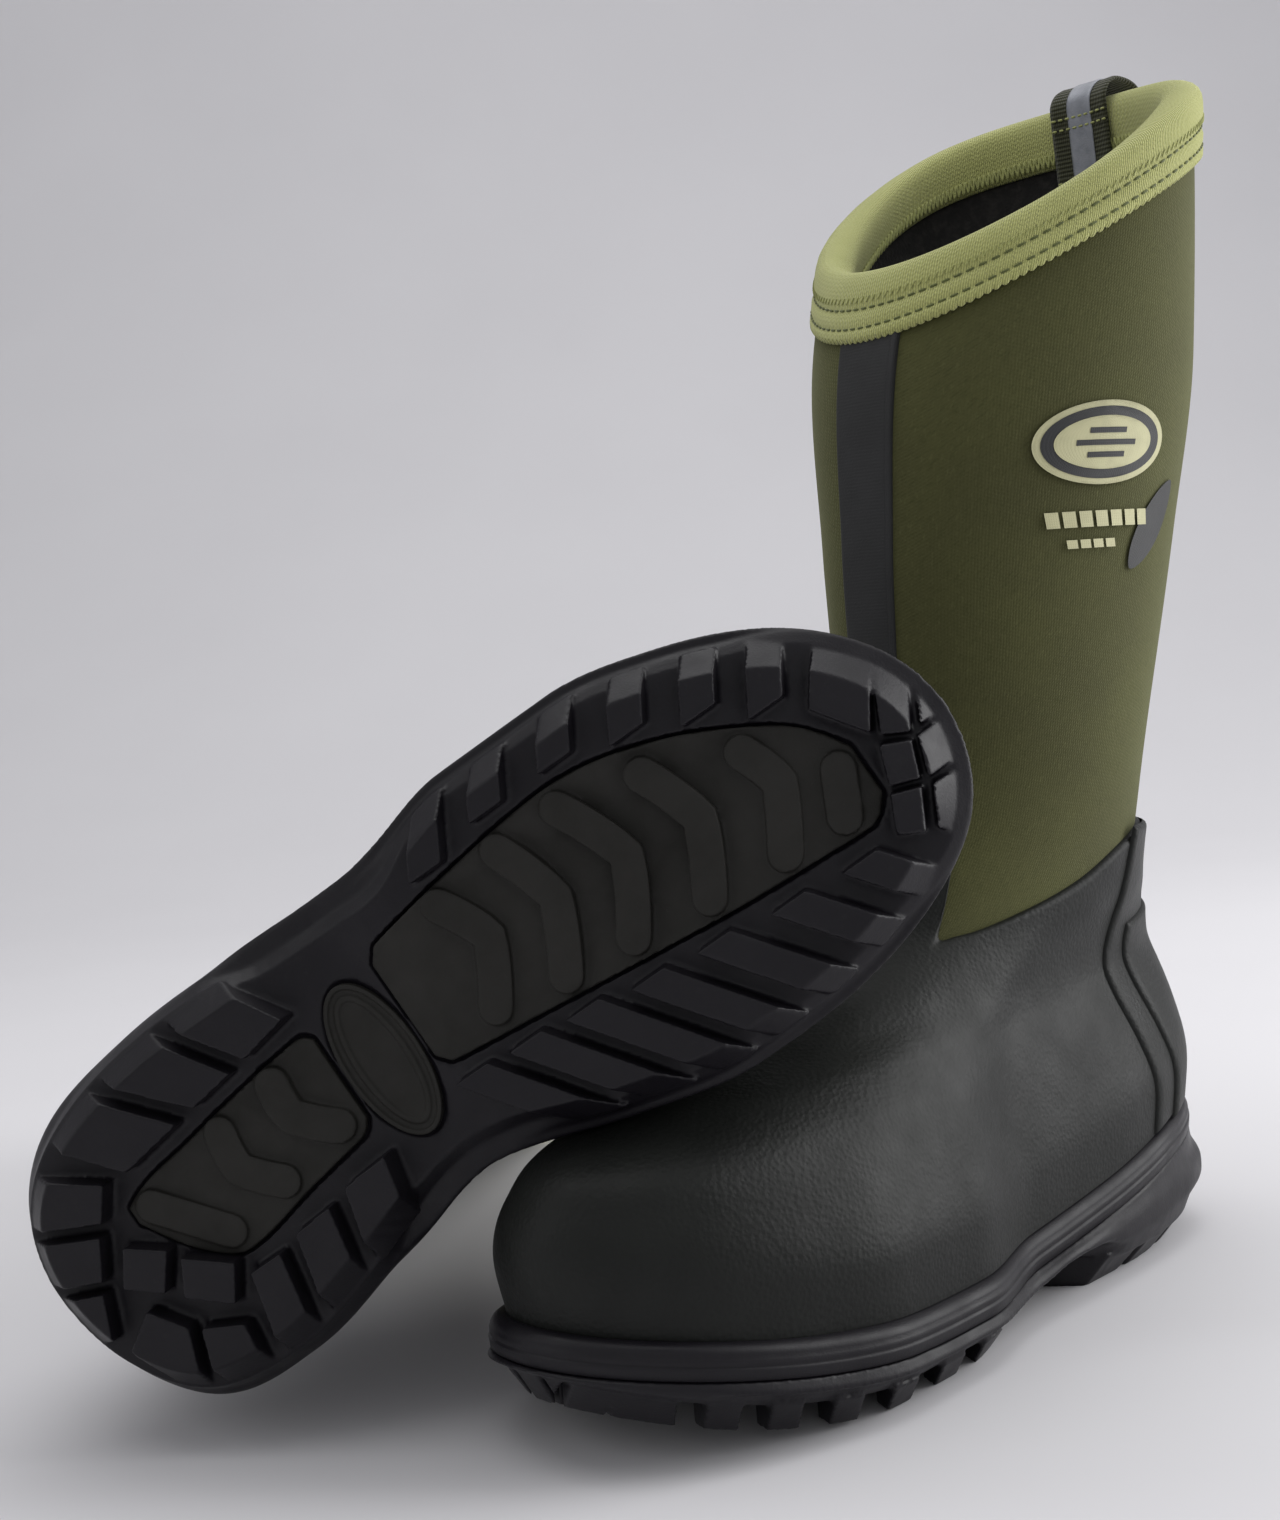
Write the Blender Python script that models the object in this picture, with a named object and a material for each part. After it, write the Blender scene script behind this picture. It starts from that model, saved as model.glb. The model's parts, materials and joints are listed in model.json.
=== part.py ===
"""Insulated hunting boots: a pull-on pair with rubber feet, neoprene shafts and lugged soles.

Each boot is modelled in its own frame, in millimetres: X runs from the back of the heel to the
toe, Y to the boot's outer side, Z up from the tread. The left boot stands. The right boot is its
mirror image and lies on its side with its sole to the front, its toe propped on the left foot.
"""
import bpy
import bmesh
from bisect import bisect_left
from functools import lru_cache
from math import cos, pi, radians, sin
import numpy as np
from mathutils import Matrix, Vector
from mathutils.bvhtree import BVHTree

MM = 0.001

# Overall sizes
SOLE_LENGTH = 315.0
BALL_WIDTH = 119.0
FRONT_HEIGHT = 338.0
BACK_HEIGHT = 405.0
RIM_SIDE_RISE = 9.6

# Walls and gaps
GAP = 0.4
RUBBER = 2.2
NEOPRENE = 4.5
LINING = 1.8
STIFFENER = 0.8
LINING_DEPTH = NEOPRENE + STIFFENER + 2 * GAP
COUNTER = 1.2
STAY = 1.6
TAPE = 0.8
BADGE = 0.5

# Sole
LUG_HEIGHT = 8.0
LUG_WIDTH = 11.5
TREAD_INSET = 10.9
TOE_SPRING = 18.7
SPRING_START = 215.0
RAND_HEIGHT = 10.0
INSERT_PROUD = 0.8
INSERT_BURIED = 1.7
PAD_WIDTH = 9.0
PAD_HEIGHT = 2.0
MIDSOLE_INSET = 9.0
BOARD = 2.2
SHANK_LENGTH = 88.0
SHANK_WIDTH = 20.0
SHANK_THICKNESS = 1.5
SHANK_START = 72.0
FOOTBED = 5.0
FOOTBED_INSET = 3.4

# Upper trim
SEAM_TAPE_WIDTH = 23.0
TONGUE_TOP = 203.0
COLLAR_LOW = 129.0
COUNTER_TOP = 150.0
GUARD_TOP = 118.0
STAY_WIDTH = 24.0
BINDING_DROP = 21.2
BINDING = 1.8
LOOP_WIDTH = 25.0
LOOP_THICKNESS = 1.5
LOOP_INSIDE = 36.0
LOOP_OUTSIDE = 40.0
LOOP_STAND_OFF = 10.0
REFLECTOR_WIDTH = 9.0
BADGE_LEVEL = 278.0
BADGE_ANGLE = 77.0
BADGE_LENGTH = 46.0
BADGE_HEIGHT = 27.0

# Placement of the pair
LEFT_HEADING = -127.8
RIGHT_ROLL = -90.9
RIGHT_TOE_LIFT = 31.1
RIGHT_HEADING = -5.2
RIGHT_OFFSET = (-342.8, -213.7, 44.5)
REST_GAP = 0.5

# Reach of the cutting solids through the upper's wall
CUT_DEPTH = 2.8

SIDE_STEPS = 12
COLUMN_ANGLES = (0, 12, 23, 33, 43, 55, 69, 85, 103, 122, 142, 161, 180)
FEATHER_LEVEL = 50.0

# Half outlines of the sole: share of the way round from heel tip to toe tip, distance from the
# boot's middle line
SOLE_LATERAL = ((0, 2), (0.11, 30), (0.22, 47), (0.34, 53.5), (0.47, 52), (0.56, 61), (0.64, 61),
                (0.72, 54), (0.8, 42), (0.89, 22.5), (1, -5))
SOLE_MEDIAL = ((0, 2), (0.09, -27), (0.18, -49), (0.28, -55), (0.37, -47), (0.45, -38),
               (0.54, -50.5), (0.62, -58), (0.7, -56.5), (0.8, -47), (0.87, -36), (1, -5))
BASE_BALL_WIDTH = 119.0
BASE_LENGTH = 315.0
FEATHER_HEIGHT = ((0, 50), (50, 44), (100, 35), (150, 28.5), (200, 27), (250, 30), (290, 36.5),
                  (315, 41))
BASE_HEIGHT = ((0, 8), (92, 8), (112, 12), (128, 13), (146, 9), (158, 8), (315, 8))

# Sections of the upper by level (the height of their back point): back x, front x, front height,
# half width, share of ellipse, centre y, turn in degrees
LEVELS = (50, 66, 82, 98, 108, 116, 123, 131, 142, 165, 190, 250, 310, 370, 412)
BACK_X = (8, 4.5, 5, 8, 11, 13.5, 16, 18, 19, 15, 9.2, -4.4, -15.2, -13, -9)
FRONT_X = (306, 309.5, 306, 292, 265, 230, 198, 170, 152, 139, 134.6, 132.4, 126.8, 105, 92)
FRONT_Z = (41, 57, 72, 84, 91, 98, 108, 122, 142, 165, 190, 250, 310, 370, 412)
HALF_WIDTH = (52.5, 53, 49, 43, 38, 36.5, 37.5, 40, 43, 45.5, 48.1, 55.1, 62.7, 65.8, 66.5)
ROUND_SHARE = (0, 0, 0.1, 0.3, 0.5, 0.7, 0.85, 1, 1, 1, 1, 1, 1, 1, 1)
CENTRE_Y = (0, 0, 0, 0, 0, -0.3, -0.6, -0.8, -0.5, 0.1, 0.7, 2.2, 3.7, 5.2, 6.2)
TURN = (0, 0, 0, 0, -1, -3, -5, -7.3, -7.3, -7.3, -7.3, -7.3, -7.3, -7.3, -7.3)
FEATHER_SHARE = (1, 0.95, 0.8, 0.5, 0.25, 0.1, 0, 0, 0, 0, 0, 0, 0, 0, 0)
BASE_BACK_HEIGHT = 405.0

# Level of the foot cover's top edge by angle from the front
COLLAR_ANGLES = (0, 18, 26, 33, 40, 47, 55, 75, 93, 115, 150, 180)
COLLAR_SHARE = (1, 0.99, 0.88, 0.6, 0.28, 0.05, 0.02, 0.05, 0.1, 0.2, 0.27, 0.28)

# Tread lugs: where each inner edge starts, along and across the sole
LATERAL_LUGS = ((165, 39), (189, 43), (213, 43), (234, 38), (253, 31), (269, 22))
MEDIAL_LUGS = ((143, -14), (161, -15), (180, -17), (200, -20), (221, -22), (244, -25), (266, -27))
TOE_LUGS = (((284, 15), (294, 0), (312, 27), (302, 40)),
            ((296, -2), (303, -6), (311, 8), (307, 20)), ((306, -6), (322, -6), (322, 16), (313, 8)),
            ((294, -4), (302, -8), (298, -18), (290, -15)), ((304, -8), (322, -8), (322, -20), (300, -19)),
            ((289, -17), (297, -20), (291, -31), (284, -27)), ((300, -21), (318, -24), (302, -46), (294, -32)))
HEEL_LUGS = (((70, 62), (96, 26), (112, 29), (92, 62)), ((42, 58), (75, 23), (90, 25), (66, 60)),
             ((20, 50), (47, 19), (68, 22), (38, 56)), ((8, 42), (39, 20), (32, 11), (0, 26)),
             ((0, 22), (29, 8), (22, -3), (-4, 8)), ((-4, 4), (20, -6), (14, -19), (-4, -16)),
             ((33, 2), (44, -6), (36, -16), (26, -8)), ((17, -24), (28, -17), (36, -28), (24, -58)),
             ((46, -10), (59, -20), (52, -30), (40, -20)), ((39, -30), (51, -36), (47, -64), (28, -60)),
             ((61, -25), (72, -25), (64, -66), (51, -64)), ((79, -23), (92, -22), (84, -62), (68, -66)),
             ((99, -20), (114, -19), (106, -54), (88, -58)))
LATERAL_SLANT = 0.6
MEDIAL_SLANT = 0.74
LUG_REACH = 34.0

FOREFOOT_INSERT = ((140, -8, 31), (176, -12, 36.5), (211, -16, 39.5), (240, -19, 34), (262, -20.5, 24),
                   (280, -21.5, 11), (287, -17, 2))
HEEL_INSERT = ((38, 4, 11), (48, -10, 14), (62, -19.5, 16), (88, -15, 20), (112, -11, 23))
FOREFOOT_PADS = (((167, 30), (177, 15), (164, -3)), ((190, 33), (199, 13), (186, -7)),
                 ((211, 33), (223, 11), (208, -9)), ((236, 27), (245, 8), (232, -12)),
                 ((262, 16), (268, 4), (256, -14)), ((281, -3), (275, -15)))
HEEL_PADS = (((45, 7), (61, -12)), ((75, 13), (72, 1), (83, -9)), ((96, 16), (94, 5), (105, -5)))
BOSS_CENTRE = (126, 3.5)
BOSS_SIZE = (12, 25)
BOSS_PROUD = 2.0
BOSS_BURIED = 1.5

COLORS = {
    "outsole_rubber": (0.012, 0.012, 0.015), "insert_rubber": (0.03, 0.028, 0.024),
    "foot_rubber": (0.018, 0.024, 0.02), "neoprene": (0.085, 0.09, 0.028),
    "lining": (0.015, 0.013, 0.012), "binding": (0.42, 0.5, 0.14), "webbing": (0.03, 0.032, 0.015),
    "reflector": (0.2, 0.21, 0.23), "tape": (0.035, 0.036, 0.038), "print": (0.62, 0.64, 0.34),
    "foam": (0.1, 0.1, 0.1), "board": (0.25, 0.17, 0.09), "steel": (0.5, 0.5, 0.5),
    "stiffener": (0.5, 0.48, 0.42)}


# ---------------------------------------------------------------- curves and surfaces

@lru_cache(maxsize=None)
def slopes_of(places, heights):
    """Slope of a smooth curve at each of its points, level where the points turn back."""
    x = np.array(places, float)
    y = np.array(heights, float)
    slopes = np.gradient(y, x)
    steps = np.diff(y) / np.diff(x)
    flat = np.zeros(len(x), bool)
    flat[1:-1] = steps[:-1] * steps[1:] <= 0
    slopes[flat] = 0
    return slopes.tolist()


def curve(value, places, heights):
    """Smooth curve through the given points, level beyond its ends."""
    slopes = slopes_of(places, heights)
    value = min(max(float(value), places[0]), places[-1])
    i = min(max(bisect_left(places, value) - 1, 0), len(places) - 2)
    width = places[i + 1] - places[i]
    t = (value - places[i]) / width
    return (heights[i] * (1 + 2 * t) * (1 - t) ** 2 + slopes[i] * width * t * (1 - t) ** 2
            + heights[i + 1] * t * t * (3 - 2 * t) - slopes[i + 1] * width * t * t * (1 - t))


def feather(x):
    """Height of the line where the upper meets the sole."""
    places, heights = zip(*FEATHER_HEIGHT)
    return curve(x * BASE_LENGTH / SOLE_LENGTH, places, heights)


def spring(x):
    """Rise of the tread towards the toe."""
    share = (x * BASE_LENGTH / SOLE_LENGTH - SPRING_START) / (BASE_LENGTH * 0.3)
    return TOE_SPRING * min(max(share, 0), 1.05) ** 2


def base(x):
    """Height of the sole's underside between the lugs."""
    places, heights = zip(*BASE_HEIGHT)
    return curve(x * BASE_LENGTH / SOLE_LENGTH, places, heights) - 8 + LUG_HEIGHT + spring(x)


def sole_top(x):
    """Height of the outsole's top face, under the rand."""
    return feather(x) - RAND_HEIGHT - GAP


def outline(turn):
    """Sole outline at turn 0 to 2: heel tip, outer side, toe tip at 1, and back inside."""
    outer = turn <= 1
    share = turn if outer else 2 - turn
    places, widths = zip(*(SOLE_LATERAL if outer else SOLE_MEDIAL))
    x = SOLE_LENGTH * (1 - cos(pi * share)) / 2
    return np.array((x, float(curve(share, places, widths)) * BALL_WIDTH / BASE_BALL_WIDTH))


def plan_ring(inset):
    """Points of the sole outline moved inwards by inset."""
    points = []
    for j in range(2 * SIDE_STEPS):
        turn = j / SIDE_STEPS
        ahead = outline((turn + 0.004) % 2)
        behind = outline((turn - 0.004) % 2)
        tangent = (ahead - behind) / np.linalg.norm(ahead - behind)
        points.append(outline(turn) + inset * np.array((tangent[1], -tangent[0])))
    return np.array(points)


def level_height(level):
    """Level for a height scale of the shaft that follows BACK_HEIGHT above the ankle."""
    if level <= LEVELS[8]:
        return level
    share = (level - LEVELS[8]) / (BACK_HEIGHT - LEVELS[8])
    return LEVELS[8] + share * (BASE_BACK_HEIGHT - LEVELS[8])


def section(angle, level):
    """Point of the shaft's outer face: angle from the front in degrees, height level."""
    key = level_height(level)
    share = 1 - abs(angle) / 180
    stretch = SOLE_LENGTH / BASE_LENGTH
    back = curve(key, LEVELS, BACK_X)
    front = curve(key, LEVELS, FRONT_X)
    half = curve(key, LEVELS, HALF_WIDTH) * BALL_WIDTH / BASE_BALL_WIDTH
    roundness = curve(key, LEVELS, ROUND_SHARE)
    x = back + (front - back) * (1 - cos(pi * share)) / 2
    places, widths = zip(*(SOLE_LATERAL if angle >= 0 else SOLE_MEDIAL))
    foot_y = float(curve(share, places, widths)) * half / 60
    oval_y = half * sin(pi * share) * (1 if angle >= 0 else -1)
    y = foot_y * (1 - roundness) + oval_y * roundness + curve(key, LEVELS, CENTRE_Y)
    front_z = curve(key, LEVELS, FRONT_Z) + level - key
    z = level + (front_z - level) * (x - back) / (front - back)
    start = LEVELS[0] + (FRONT_Z[0] - LEVELS[0]) * (x - back) / (front - back)
    z += curve(key, LEVELS, FEATHER_SHARE) * (feather(x * stretch) - start)
    turn = radians(curve(key, LEVELS, TURN))
    middle = (back + front) / 2
    dx = x - middle
    return np.array(((middle + dx * cos(turn) - y * sin(turn)) * stretch,
                     dx * sin(turn) + y * cos(turn), z))


def skin(angle, level, proud=0.0):
    """Point of the outer face, moved outwards along its normal by proud."""
    here = section(angle, level)
    if proud == 0:
        return here
    step = 2.0
    turn_a = angle + step if angle < 178 else angle - 360 + step
    turn_b = angle - step if angle > -178 else angle + 360 - step
    across = section(turn_a, level) - section(turn_b, level)
    upwards = section(angle, level + step) - section(angle, level - step)
    normal = np.cross(across, upwards)
    return here + normal / np.linalg.norm(normal) * proud


def rim_level(angle):
    """Level of the boot's top edge."""
    middle = (FRONT_HEIGHT + BACK_HEIGHT) / 2
    slope = (BACK_HEIGHT - FRONT_HEIGHT) / 2 * cos(radians(angle))
    return middle - slope + RIM_SIDE_RISE * (1 - cos(radians(2 * angle))) / 2


def collar_level(angle):
    """Level of the foot cover's top edge, high on the shin and low beside it."""
    return COLLAR_LOW + (TONGUE_TOP - COLLAR_LOW) * float(curve(abs(angle), COLLAR_ANGLES, COLLAR_SHARE))


def ring_angles():
    """Angles of a ring's points, from the back round the outer side to the front and home."""
    return list(COLUMN_ANGLES[::-1]) + [-a for a in COLUMN_ANGLES[1:-1]]


# ---------------------------------------------------------------- solids

class Boot:
    """One boot under construction: which side it is and where its objects go."""

    def __init__(self, name, side, parts, cutters):
        self.name = name
        self.side = side
        self.parts = parts
        self.cutters = cutters
        self.empty = bpy.data.objects.new(name + "_boot", None)
        parts.objects.link(self.empty)

    def add(self, name, points, faces, material, cutter=False):
        """Make one closed object from points in the boot's frame."""
        bm = bmesh.new()
        corners = [bm.verts.new((p[0] * MM, p[1] * MM * self.side, p[2] * MM)) for p in points]
        for face in faces:
            bm.faces.new([corners[i] for i in face])
        bmesh.ops.recalc_face_normals(bm, faces=bm.faces)
        mesh = bpy.data.meshes.new(self.name + "_" + name)
        bm.to_mesh(mesh)
        bm.free()
        obj = bpy.data.objects.new(self.name + "_" + name, mesh)
        obj.parent = self.empty
        if cutter:
            self.cutters.objects.link(obj)
            obj.hide_render = True
            obj.display_type = "WIRE"
        else:
            self.parts.objects.link(obj)
            mesh.materials.append(paint(material))
            mesh.shade_smooth()
            mesh.set_sharp_from_angle(angle=radians(40))
        return obj


def paint(name):
    """Material of one of the boots' stuffs."""
    material = bpy.data.materials.get(name)
    if material is None:
        material = bpy.data.materials.new(name)
        material.use_nodes = True
        shader = material.node_tree.nodes["Principled BSDF"]
        shader.inputs["Base Color"].default_value = COLORS[name] + (1,)
        shader.inputs["Roughness"].default_value = 0.35 if name == "steel" else 0.75
        shader.inputs["Metallic"].default_value = 1.0 if name == "steel" else 0.0
    return material


def combine(target, other, operation):
    """Boolean of another object into the target."""
    modifier = target.modifiers.new(operation.title(), "BOOLEAN")
    modifier.operation = operation
    modifier.solver = "EXACT"
    modifier.object = other


def rungs(start, count):
    """Faces across a ring: from its outer side to its inner side, tip to tip."""
    half = count // 2
    faces = [(start, start + 1, start + count - 1)]
    for j in range(1, half - 1):
        faces.append((start + j, start + j + 1, start + count - j - 1, start + count - j))
    faces.append((start + half - 1, start + half, start + half + 1))
    return faces


def walls(rings, count):
    """Faces between neighbouring rings, each given by its first point's index."""
    faces = []
    for low, high in zip(rings, rings[1:]):
        for j in range(count):
            k = (j + 1) % count
            faces.append((low + j, low + k, high + k))
            faces.append((low + j, high + k, high + j))
    return faces


def stack(rings):
    """Points and faces of a solid whose rings are closed at both ends."""
    count = len(rings[0])
    points = [p for ring in rings for p in ring]
    starts = [i * count for i in range(len(rings))]
    faces = walls(starts, count) + rungs(0, count) + rungs(starts[-1], count)
    return points, faces


def sleeve(outer, inner, floor=False):
    """Points and faces of a wall between two stacks of rings, with or without a floor."""
    count = len(outer[0])
    points = [p for ring in outer + inner for p in ring]
    out_starts = [i * count for i in range(len(outer))]
    in_starts = [(len(outer) + i) * count for i in range(len(inner))]
    faces = walls(out_starts, count) + walls(in_starts, count)
    faces += walls([out_starts[-1], in_starts[-1]], count)
    if floor:
        faces += rungs(out_starts[0], count) + rungs(in_starts[0], count)
    else:
        faces += walls([out_starts[0], in_starts[0]], count)
    return points, faces


def lift(ring, height):
    """Ring of plan points set at a height that may depend on x."""
    return [(x, y, float(height(x))) for x, y in ring]


def patch(rows_out, rows_in):
    """Points and faces of a plate between two grids of the same size."""
    rows = len(rows_out)
    columns = len(rows_out[0])
    points = [p for row in rows_out + rows_in for p in row]
    offset = rows * columns
    faces = []
    for i in range(rows - 1):
        for j in range(columns - 1):
            a = i * columns + j
            for half in ((a, a + 1, a + columns), (a + 1, a + columns + 1, a + columns)):
                faces.append(half)
                faces.append(tuple(v + offset for v in half))
    edge = [j for j in range(columns)]
    edge += [i * columns + columns - 1 for i in range(1, rows)]
    edge += [(rows - 1) * columns + j for j in range(columns - 2, -1, -1)]
    edge += [i * columns for i in range(rows - 2, 0, -1)]
    for a, b in zip(edge, edge[1:] + edge[:1]):
        faces.append((a, b, b + offset, a + offset))
    return points, faces


def strip(stations, low, high):
    """Plate given by (x, inner y, outer y) stations, between two height functions."""
    bottom = [[(x, a, float(low(x))), (x, (a + b) / 2, float(low(x))), (x, b, float(low(x)))]
              for x, a, b in stations]
    top = [[(x, a, float(high(x))), (x, (a + b) / 2, float(high(x))), (x, b, float(high(x)))]
           for x, a, b in stations]
    return patch(bottom, top)


def prism(corners, low, high):
    """Upright block on a flat outline, whose top and bottom follow height functions."""
    count = len(corners)
    points = [(x, y, float(low(x))) for x, y in corners]
    points += [(x, y, float(high(x))) for x, y in corners]
    faces = [tuple(range(count)), tuple(range(count, 2 * count))]
    faces += [(j, (j + 1) % count, (j + 1) % count + count, j + count) for j in range(count)]
    return points, faces


def merge(solids):
    """Points and faces of several solids in one mesh."""
    points = []
    faces = []
    for solid_points, solid_faces in solids:
        offset = len(points)
        points += list(solid_points)
        faces += [tuple(i + offset for i in face) for face in solid_faces]
    return points, faces


def stroke(path, width):
    """Outline of a bar with round ends that follows a path of two or three points."""
    path = [np.array(p, float) for p in path]
    directions = [(b - a) / np.linalg.norm(b - a) for a, b in zip(path, path[1:])]
    half = width / 2
    left = []
    right = []
    for i, point in enumerate(path):
        before = directions[max(i - 1, 0)]
        after = directions[min(i, len(directions) - 1)]
        along = (before + after) / np.linalg.norm(before + after)
        normal = np.array((-along[1], along[0])) / max(0.5, float(along @ after))
        left.append(point + normal * half)
        right.append(point - normal * half)
    corners = list(left)
    for centre, along in ((path[-1], directions[-1]), (path[0], -directions[0])):
        across = np.array((-along[1], along[0]))
        for degrees_round in (45, 0, -45):
            a = radians(degrees_round)
            corners.append(centre + (along * cos(a) + across * sin(a)) * half)
        if centre is path[-1]:
            corners += right[::-1]
    return corners


# ---------------------------------------------------------------- sole

def on_sole(x, *across):
    """Place on the tread, stretched with the sole's length and its width at the ball."""
    return (x * SOLE_LENGTH / BASE_LENGTH, *(y * BALL_WIDTH / BASE_BALL_WIDTH for y in across))


def make_outsole(boot):
    body_rings = [lift(plan_ring(5.0), base),
                  lift(plan_ring(0.0), lambda x: base(x) + 0.42 * (sole_top(x) - base(x))),
                  lift(plan_ring(1.2), sole_top)]
    outsole = boot.add("outsole", *stack(body_rings), "outsole_rubber")
    treads = boot.add("treads", *merge(lug_blocks()), None, cutter=True)
    tread_rings = [lift(plan_ring(TREAD_INSET), spring),
                   lift(plan_ring(4.4), lambda x: base(x) + 1.2)]
    reach = boot.add("tread_reach", *stack(tread_rings), None, cutter=True)
    combine(treads, reach, "INTERSECT")
    combine(outsole, treads, "UNION")
    for name, stations in (("forefoot", FOREFOOT_INSERT), ("heel", HEEL_INSERT)):
        recess = boot.add(name + "_recess", *insert_plate(stations, GAP), None, cutter=True)
        combine(outsole, recess, "DIFFERENCE")
    boss_recess = boot.add("boss_recess", *boss_plate(GAP), None, cutter=True)
    combine(outsole, boss_recess, "DIFFERENCE")
    return outsole


def lug_blocks():
    """Every tread lug as a block that runs past the sole's edge."""
    def low(x):
        return spring(x) - 1.0

    def high(x):
        return base(x) + 1.0

    blocks = []
    for x, y in LATERAL_LUGS:
        far = LATERAL_SLANT * LUG_REACH
        blocks.append([(x, y), (x + LUG_WIDTH, y - 2), (x + LUG_WIDTH + far, y + LUG_REACH),
                       (x + far, y + LUG_REACH)])
    for x, y in MEDIAL_LUGS:
        far = MEDIAL_SLANT * LUG_REACH * 1.4
        blocks.append([(x, y), (x + LUG_WIDTH, y - 1), (x + LUG_WIDTH + far, y - LUG_REACH * 1.4),
                       (x + far, y - LUG_REACH * 1.4)])
    blocks += [list(corners) for corners in TOE_LUGS + HEEL_LUGS]
    return [prism([on_sole(*corner) for corner in corners], low, high) for corners in blocks]


def insert_plate(stations, clearance):
    """Soft insert, or with a clearance the recess that it sits in."""
    grown = []
    for i, station in enumerate(stations):
        x, inner, outer = on_sole(*station)
        shift = -clearance if i == 0 else clearance if i == len(stations) - 1 else 0
        grown.append((x + shift, inner - clearance, outer + clearance))
    if clearance:
        return strip(grown, lambda x: base(x) - 3, lambda x: base(x) + INSERT_BURIED + clearance)
    return strip(grown, lambda x: base(x) - INSERT_PROUD, lambda x: base(x) + INSERT_BURIED)


def boss_plate(clearance):
    """Oval boss at the waist, or the recess that it sits in."""
    centre = on_sole(*BOSS_CENTRE)
    half = on_sole(*BOSS_SIZE)
    corners = []
    for j in range(20):
        a = 2 * pi * j / 20
        corners.append((centre[0] + (half[0] + clearance) * cos(a),
                        centre[1] + (half[1] + clearance) * sin(a)))
    if clearance:
        return prism(corners, lambda x: base(x) - BOSS_PROUD - 1,
                     lambda x: base(centre[0]) + BOSS_BURIED + GAP)
    return prism(corners, lambda x: base(centre[0]) - BOSS_PROUD, lambda x: base(centre[0]) + BOSS_BURIED)


def make_insert(boot, name, stations, pads):
    plate = boot.add(name, *insert_plate(stations, 0.0), "insert_rubber")
    outlines = [stroke([on_sole(*point) for point in path], PAD_WIDTH) for path in pads]
    blocks = [prism(outline, lambda x: base(x) - INSERT_PROUD - PAD_HEIGHT, lambda x: base(x) + 0.5)
              for outline in outlines]
    raised = boot.add(name + "_pads", *merge(blocks), None, cutter=True)
    combine(plate, raised, "UNION")
    return plate


def make_boss(boot):
    return boot.add("waist_boss", *boss_plate(0.0), "insert_rubber")


def make_rand(boot):
    outer = [lift(plan_ring(1.4), lambda x: sole_top(x) + GAP),
             lift(plan_ring(2.2), lambda x: feather(x) - RAND_HEIGHT * 0.45),
             lift(plan_ring(4.4), lambda x: feather(x) - GAP)]
    inner = [lift(plan_ring(MIDSOLE_INSET - GAP), lambda x: sole_top(x) + GAP),
             lift(plan_ring(MIDSOLE_INSET - GAP), lambda x: feather(x) - RAND_HEIGHT * 0.45),
             lift(plan_ring(MIDSOLE_INSET - GAP), lambda x: feather(x) - GAP)]
    return boot.add("rand", *sleeve(outer, inner), "outsole_rubber")


def midsole_top(x):
    return feather(x) - 2 * GAP - BOARD


def make_midsole(boot):
    rings = [lift(plan_ring(MIDSOLE_INSET), lambda x: sole_top(x) + GAP),
             lift(plan_ring(MIDSOLE_INSET), midsole_top)]
    midsole = boot.add("midsole", *stack(rings), "foam")
    slot = boot.add("shank_slot", *shank_bar(GAP), None, cutter=True)
    combine(midsole, slot, "DIFFERENCE")
    return midsole


def shank_bar(clearance):
    """Stiffening shank, or with a clearance the slot for it in the midsole."""
    half = SHANK_WIDTH / 2 + clearance
    steps = 7
    stations = []
    for i in range(steps):
        x = SHANK_START - clearance + (SHANK_LENGTH + 2 * clearance) * i / (steps - 1)
        stations.append((x, -half - 3, half - 3))
    above = 3 if clearance else -GAP
    return strip(stations, lambda x: midsole_top(x) - SHANK_THICKNESS - GAP - clearance,
                 lambda x: midsole_top(x) + above)


def make_board(boot):
    rings = [lift(plan_ring(MIDSOLE_INSET), lambda x: midsole_top(x) + GAP),
             lift(plan_ring(MIDSOLE_INSET), lambda x: midsole_top(x) + GAP + BOARD)]
    return boot.add("insole_board", *stack(rings), "board")


# ---------------------------------------------------------------- upper

FOOT_LEVELS = (FEATHER_LEVEL, 62, 76, 89, 101, 111, 119)
ANKLE_SHARES = (0.1, 0.25, 0.55, 1.0)
SHAFT_SHARES = (0.2, 0.47, 0.73, 1.0)
COLLAR_ROW = len(FOOT_LEVELS) + len(ANKLE_SHARES) - 1
HEM_ROW = COLLAR_ROW + len(SHAFT_SHARES)
ROWS = HEM_ROW + 2


def grid_level(row, angle):
    """Level of one of the rows that every layer of the upper shares.

    The rows are level in the foot, then close in on the foot cover's collar, then on the rim.
    """
    collar = collar_level(angle)
    if row < len(FOOT_LEVELS):
        return FOOT_LEVELS[row]
    if row <= COLLAR_ROW:
        return FOOT_LEVELS[-1] + ANKLE_SHARES[row - len(FOOT_LEVELS)] * (collar - FOOT_LEVELS[-1])
    if row > HEM_ROW:
        return rim_level(angle)
    hem = rim_level(angle) - BINDING_DROP - GAP
    return collar + SHAFT_SHARES[row - COLLAR_ROW - 1] * (hem - collar)


def grid_ring(row, proud):
    """Ring of an upper layer's points on a shared row."""
    return [skin(a, grid_level(row, a), proud) for a in ring_angles()]


def hem_point(angle, proud):
    """Point of a layer's lower edge, just above the sole."""
    x, y, _ = skin(angle, FEATHER_LEVEL, proud)
    return np.array((x, y, float(feather(x)) + GAP))


def grid_columns(middle, reach):
    """Shared columns within reach steps of the one at the middle angle."""
    ring = ring_angles()
    i = ring.index(middle)
    return [ring[(i - k) % len(ring)] for k in range(-reach, reach + 1)]


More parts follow.
